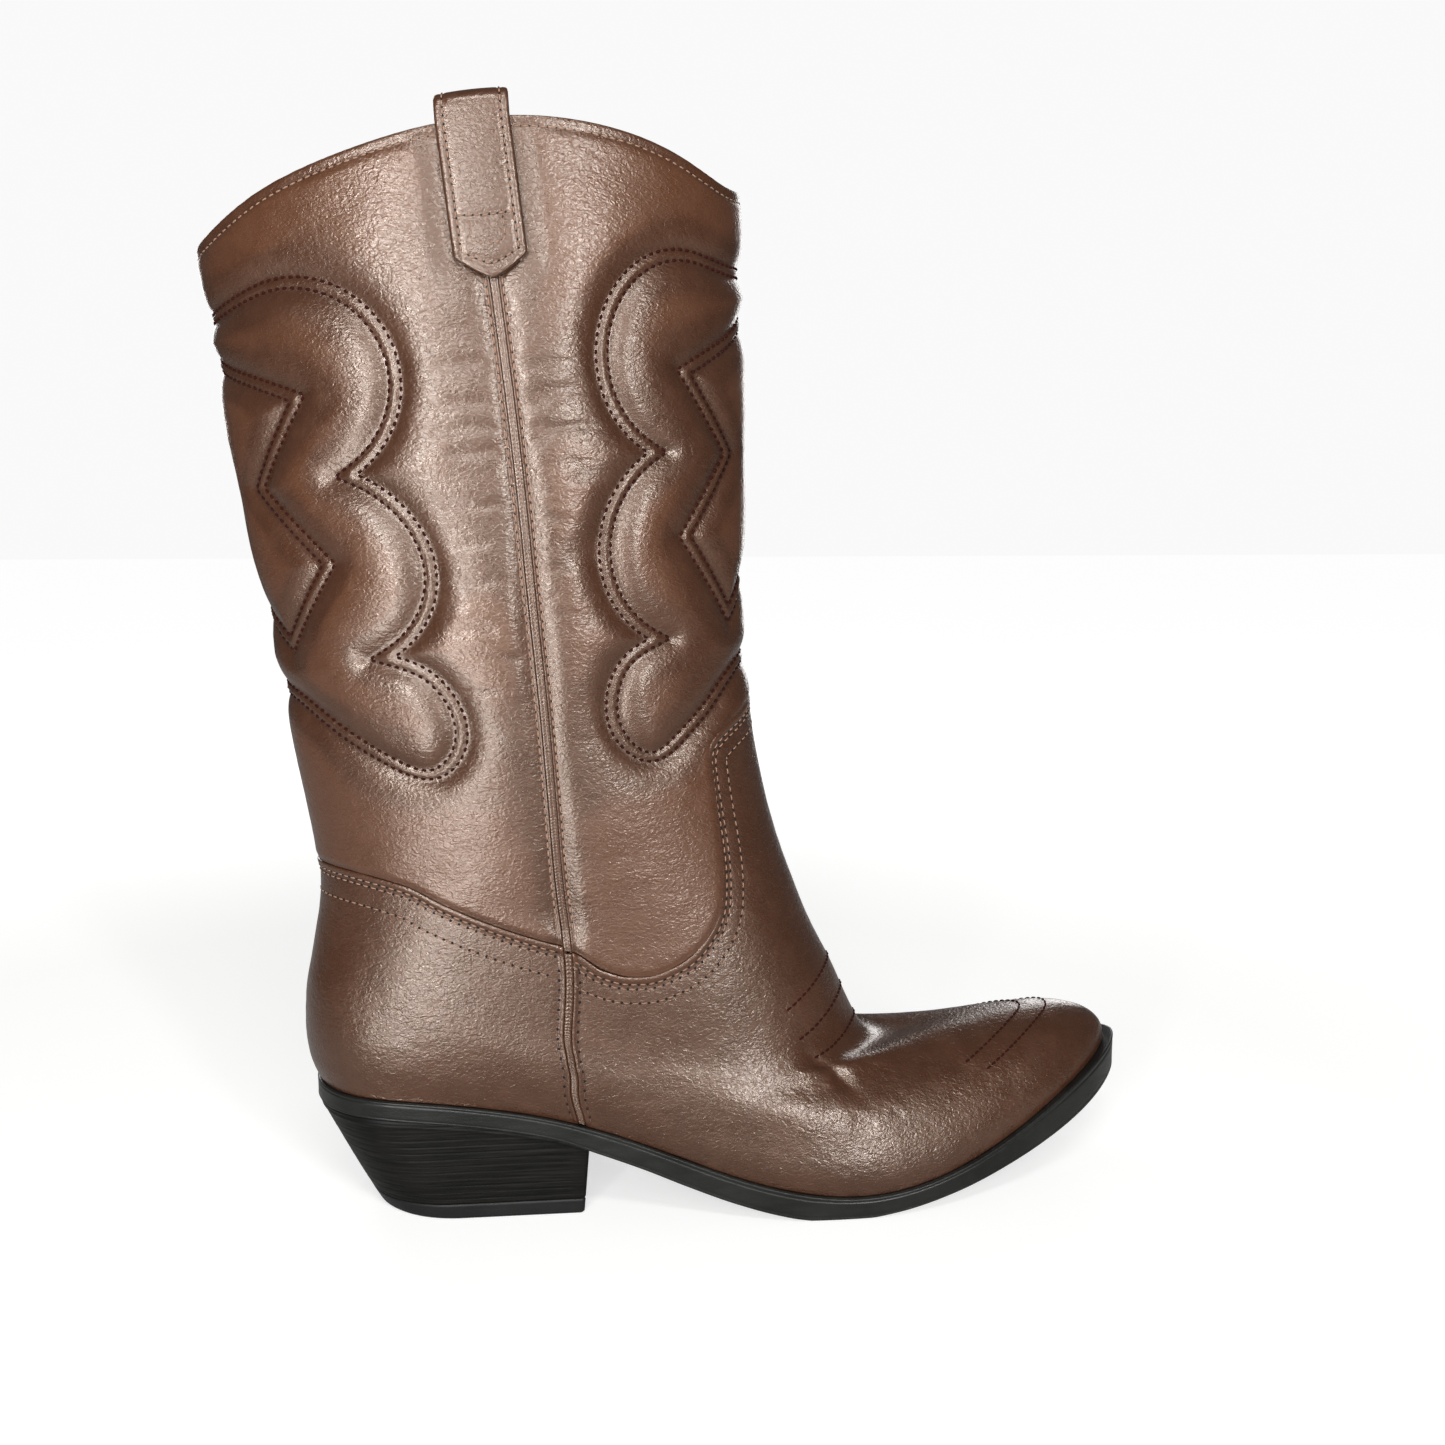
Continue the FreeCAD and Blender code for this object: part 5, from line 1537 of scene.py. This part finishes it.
def stack_swell(outline, z, up, below_top):
    points = np.concatenate([outline, z[:, None]], -1)
    # leather lifts, each a little uneven
    lift = 2.35
    place = (z + 0.06 * noise3(points * (0.06, 0.06, 0.0), 1.0, 71)) / lift
    k = np.floor(place)
    f = place - k
    depth = 0.10 + 0.04 * np.sin(k * 7.1)
    groove = -depth * np.exp(-(np.minimum(f, 1 - f) * lift / 0.24) ** 2)
    step = 0.04 * np.sin(k * 12.9898)
    fine = 0.035 * noise3(points * (0.05, 0.05, 1.0), 0.55, 72)
    # smooth border by the breast, and a bead along it and under the seat
    behind = breast_x(z) - outline[:, 0]
    stacked = smooth(3.6, 4.6, behind)
    bead = 0.20 * np.maximum(bump(below_top, 1.9, 0.45), bump(behind, 3.4, 0.5))
    edge = bead - 0.35 * smooth(0.7, 0.0, up) - 0.30 * smooth(0.7, 0.0, below_top)
    return (groove + step + fine) * stacked + 0.12 * (1 - stacked) + edge


def lift_swell(outline, z, up, below_top):
    return 0.10 - 0.45 * smooth(0.8, 0.0, up) ** 2 - 0.22 * smooth(0.5, 0.0, below_top)


stack_shares = np.concatenate([
    [0, 0.006, 0.014, 0.022], np.linspace(0.03, 0.97, 128), [0.978, 0.986, 0.994, 1.0]])
heel_piece("stacked_heel", "heel_block", MAT["heel"], HEEL_LOW,
           lambda x: SOLE_Z(x) - 0.1, stack_shares, stack_swell)
lift_shares = [0, 0.02, 0.06, 0.12, 0.18, 0.3, 0.5, 0.7, 0.84, 0.9, 0.95, 0.98, 1.0]
heel_piece("heel_top_lift_rubber", "heel_top_lift", MAT["lift"], 0.0,
           lambda x: LIFT_TOP + 0 * x, lift_shares, lift_swell)

# sock lining rings: inset, height over the feather line
SOCK_RINGS = [(0.6, 4.1), (0.1, 4.25), (0.0, 4.6), (0.15, 4.95), (0.6, 5.1),
              (1.6, 5.08), (2.2, 4.98), (2.8, 5.08), (5.0, 5.1)]


def build_sock():
    outline, normals = plan(lambda u: -(4.5 + 7.0 * np.maximum(0, (u - 0.66) / 0.34) ** 2), 240)
    rings = [plan_ring(outline, normals, inset, lambda x: FEATHER_Z(x) + rise)
             for inset, rise in SOCK_RINGS]
    return ring_mesh("sock_lining_sheet", rings, MAT["lining_leather"])


rigid(build_sock(), "sock_lining")


# ------------------------------------------------------------------ hidden CAD parts
def cad_material(kind, node):
    """Copy of a material laid on object coordinates, as CAD shapes have no rest_co."""
    material = MAT[kind].copy()
    material.name = kind + "_cad_" + node
    nodes, links = material.node_tree.nodes, material.node_tree.links
    rest = next(found for found in nodes if found.type == "ATTRIBUTE")
    place = nodes.new("ShaderNodeTexCoord")
    for link in list(rest.outputs["Vector"].links):
        links.new(place.outputs["Object"], link.to_socket)
    return material


for node, kind in (
    ("insole_board", "fibre"), ("bottom_filler", "cork"), ("shank", "steel"),
    ("shank_rivets", "steel"), ("heel_screw", "steel"), ("heel_nails", "steel"),
    ("top_lift_pins", "steel"),
):
    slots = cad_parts[node].data.materials
    slots.clear()
    slots.append(cad_material(kind, node))


# ------------------------------------------------------------------ floor, light, camera
def floor_material():
    """Pale grey that glows for the camera, more so far from the boot."""
    m = Shader("pale_floor")
    camera_ray = m.node("LightPath").outputs["Is Camera Ray"]
    place = m.node("TexCoord").outputs["Object"]
    far = m.node("VectorMath", {"operation": "LENGTH"}, {0: place}).outputs["Value"]
    light, dark = (0.52, 0.52, 0.51, 1), (0.48, 0.48, 0.47, 1)
    m.set(
        Base_Color=m.mix(m.ramp(m.noise(8), 0.3, 0.7), light, dark),
        Roughness=0.9,
        Emission_Color=(1, 1, 1, 1),
        Emission_Strength=m.math("MULTIPLY", camera_ray, m.ramp(far, 0.35, 1.1, 0.62, 0.93)),
    )
    return m.material


def build_floor():
    half = 6.0
    mesh = bpy.data.meshes.new("floor")
    corners = [(-half, -half, 0), (half, -half, 0), (half, half, 0), (-half, half, 0)]
    mesh.from_pydata(corners, [], [(0, 1, 2, 3)])
    mesh.materials.append(floor_material())
    floor = bpy.data.objects.new("floor", mesh)
    bpy.context.scene.collection.objects.link(floor)
    floor.location.z = -0.0002


def build_world():
    """White world, bright for the camera and dim as a light."""
    world = bpy.data.worlds.new("studio")
    bpy.context.scene.world = world
    world.use_nodes = True
    nodes, links = world.node_tree.nodes, world.node_tree.links
    background = nodes["Background"]
    background.inputs["Color"].default_value = (1, 1, 1, 1)
    strength = nodes.new("ShaderNodeMapRange")
    strength.inputs["To Min"].default_value = 0.10
    strength.inputs["To Max"].default_value = 0.95
    camera_ray = nodes.new("ShaderNodeLightPath").outputs["Is Camera Ray"]
    links.new(camera_ray, strength.inputs["Value"])
    links.new(strength.outputs["Result"], background.inputs["Strength"])


def place_aimed(name, data, location, direction):
    obj = bpy.data.objects.new(name, data)
    bpy.context.scene.collection.objects.link(obj)
    obj.location = location
    obj.rotation_mode = "QUATERNION"
    obj.rotation_quaternion = direction.to_track_quat("-Z", "Y")
    return obj


# name, place, target, size in metres, watts
LIGHTS = [
    ("key", (-0.44, -1.10, 0.30), (0.03, 0, 0.16), (0.10, 0.52), 7.4),
    ("fill", (0.50, -1.10, 0.42), (0.06, 0, 0.15), (0.10, 0.60), 7.6),
    ("top", (0.05, -0.80, 1.00), (0.06, 0, 0.12), (0.45, 0.14), 4.8),
    ("front", (-0.12, -0.95, 0.50), (0.05, 0, 0.10), (0.30, 0.18), 2.6),
    ("bounce", (-0.17, -0.50, 0.004), (-0.17, -0.50, 1.0), (0.20, 0.50), 2.9),
    ("rim", (-0.50, 1.0, 0.65), (0.05, 0, 0.2), (0.3, 0.8), 3.0),
    ("back", (0.60, 1.0, 0.45), (0.05, 0, 0.15), (0.3, 0.7), 2.5),
]


def build_lights():
    for name, location, target, size, power in LIGHTS:
        data = bpy.data.lights.new(name, "AREA")
        data.shape = "RECTANGLE"
        data.size, data.size_y = size
        data.energy = power
        light = place_aimed(name, data, location, Vector(target) - Vector(location))
        if name == "bounce":
            light.visible_camera = False


def build_camera():
    """Camera on the lateral side, 500 mm out, turned a little to the heel and looking down."""
    turn, pitch = math.radians(-6.0), math.radians(8.34)
    reach, centre_x, height = 500, 79, 232.5
    data = bpy.data.cameras.new("camera")
    data.sensor_width = 36.0
    data.lens = 37.370242
    data.clip_start, data.clip_end = 0.01, 30
    location = ((centre_x + reach * math.sin(turn)) * MM, -reach * math.cos(turn) * MM,
                height * MM)
    forward = Vector((-math.sin(turn) * math.cos(pitch), math.cos(turn) * math.cos(pitch),
                      -math.sin(pitch)))
    bpy.context.scene.camera = place_aimed("camera", data, location, forward)


build_floor()
build_world()
bpy.context.scene.view_settings.view_transform = "Standard"
build_lights()
build_camera()
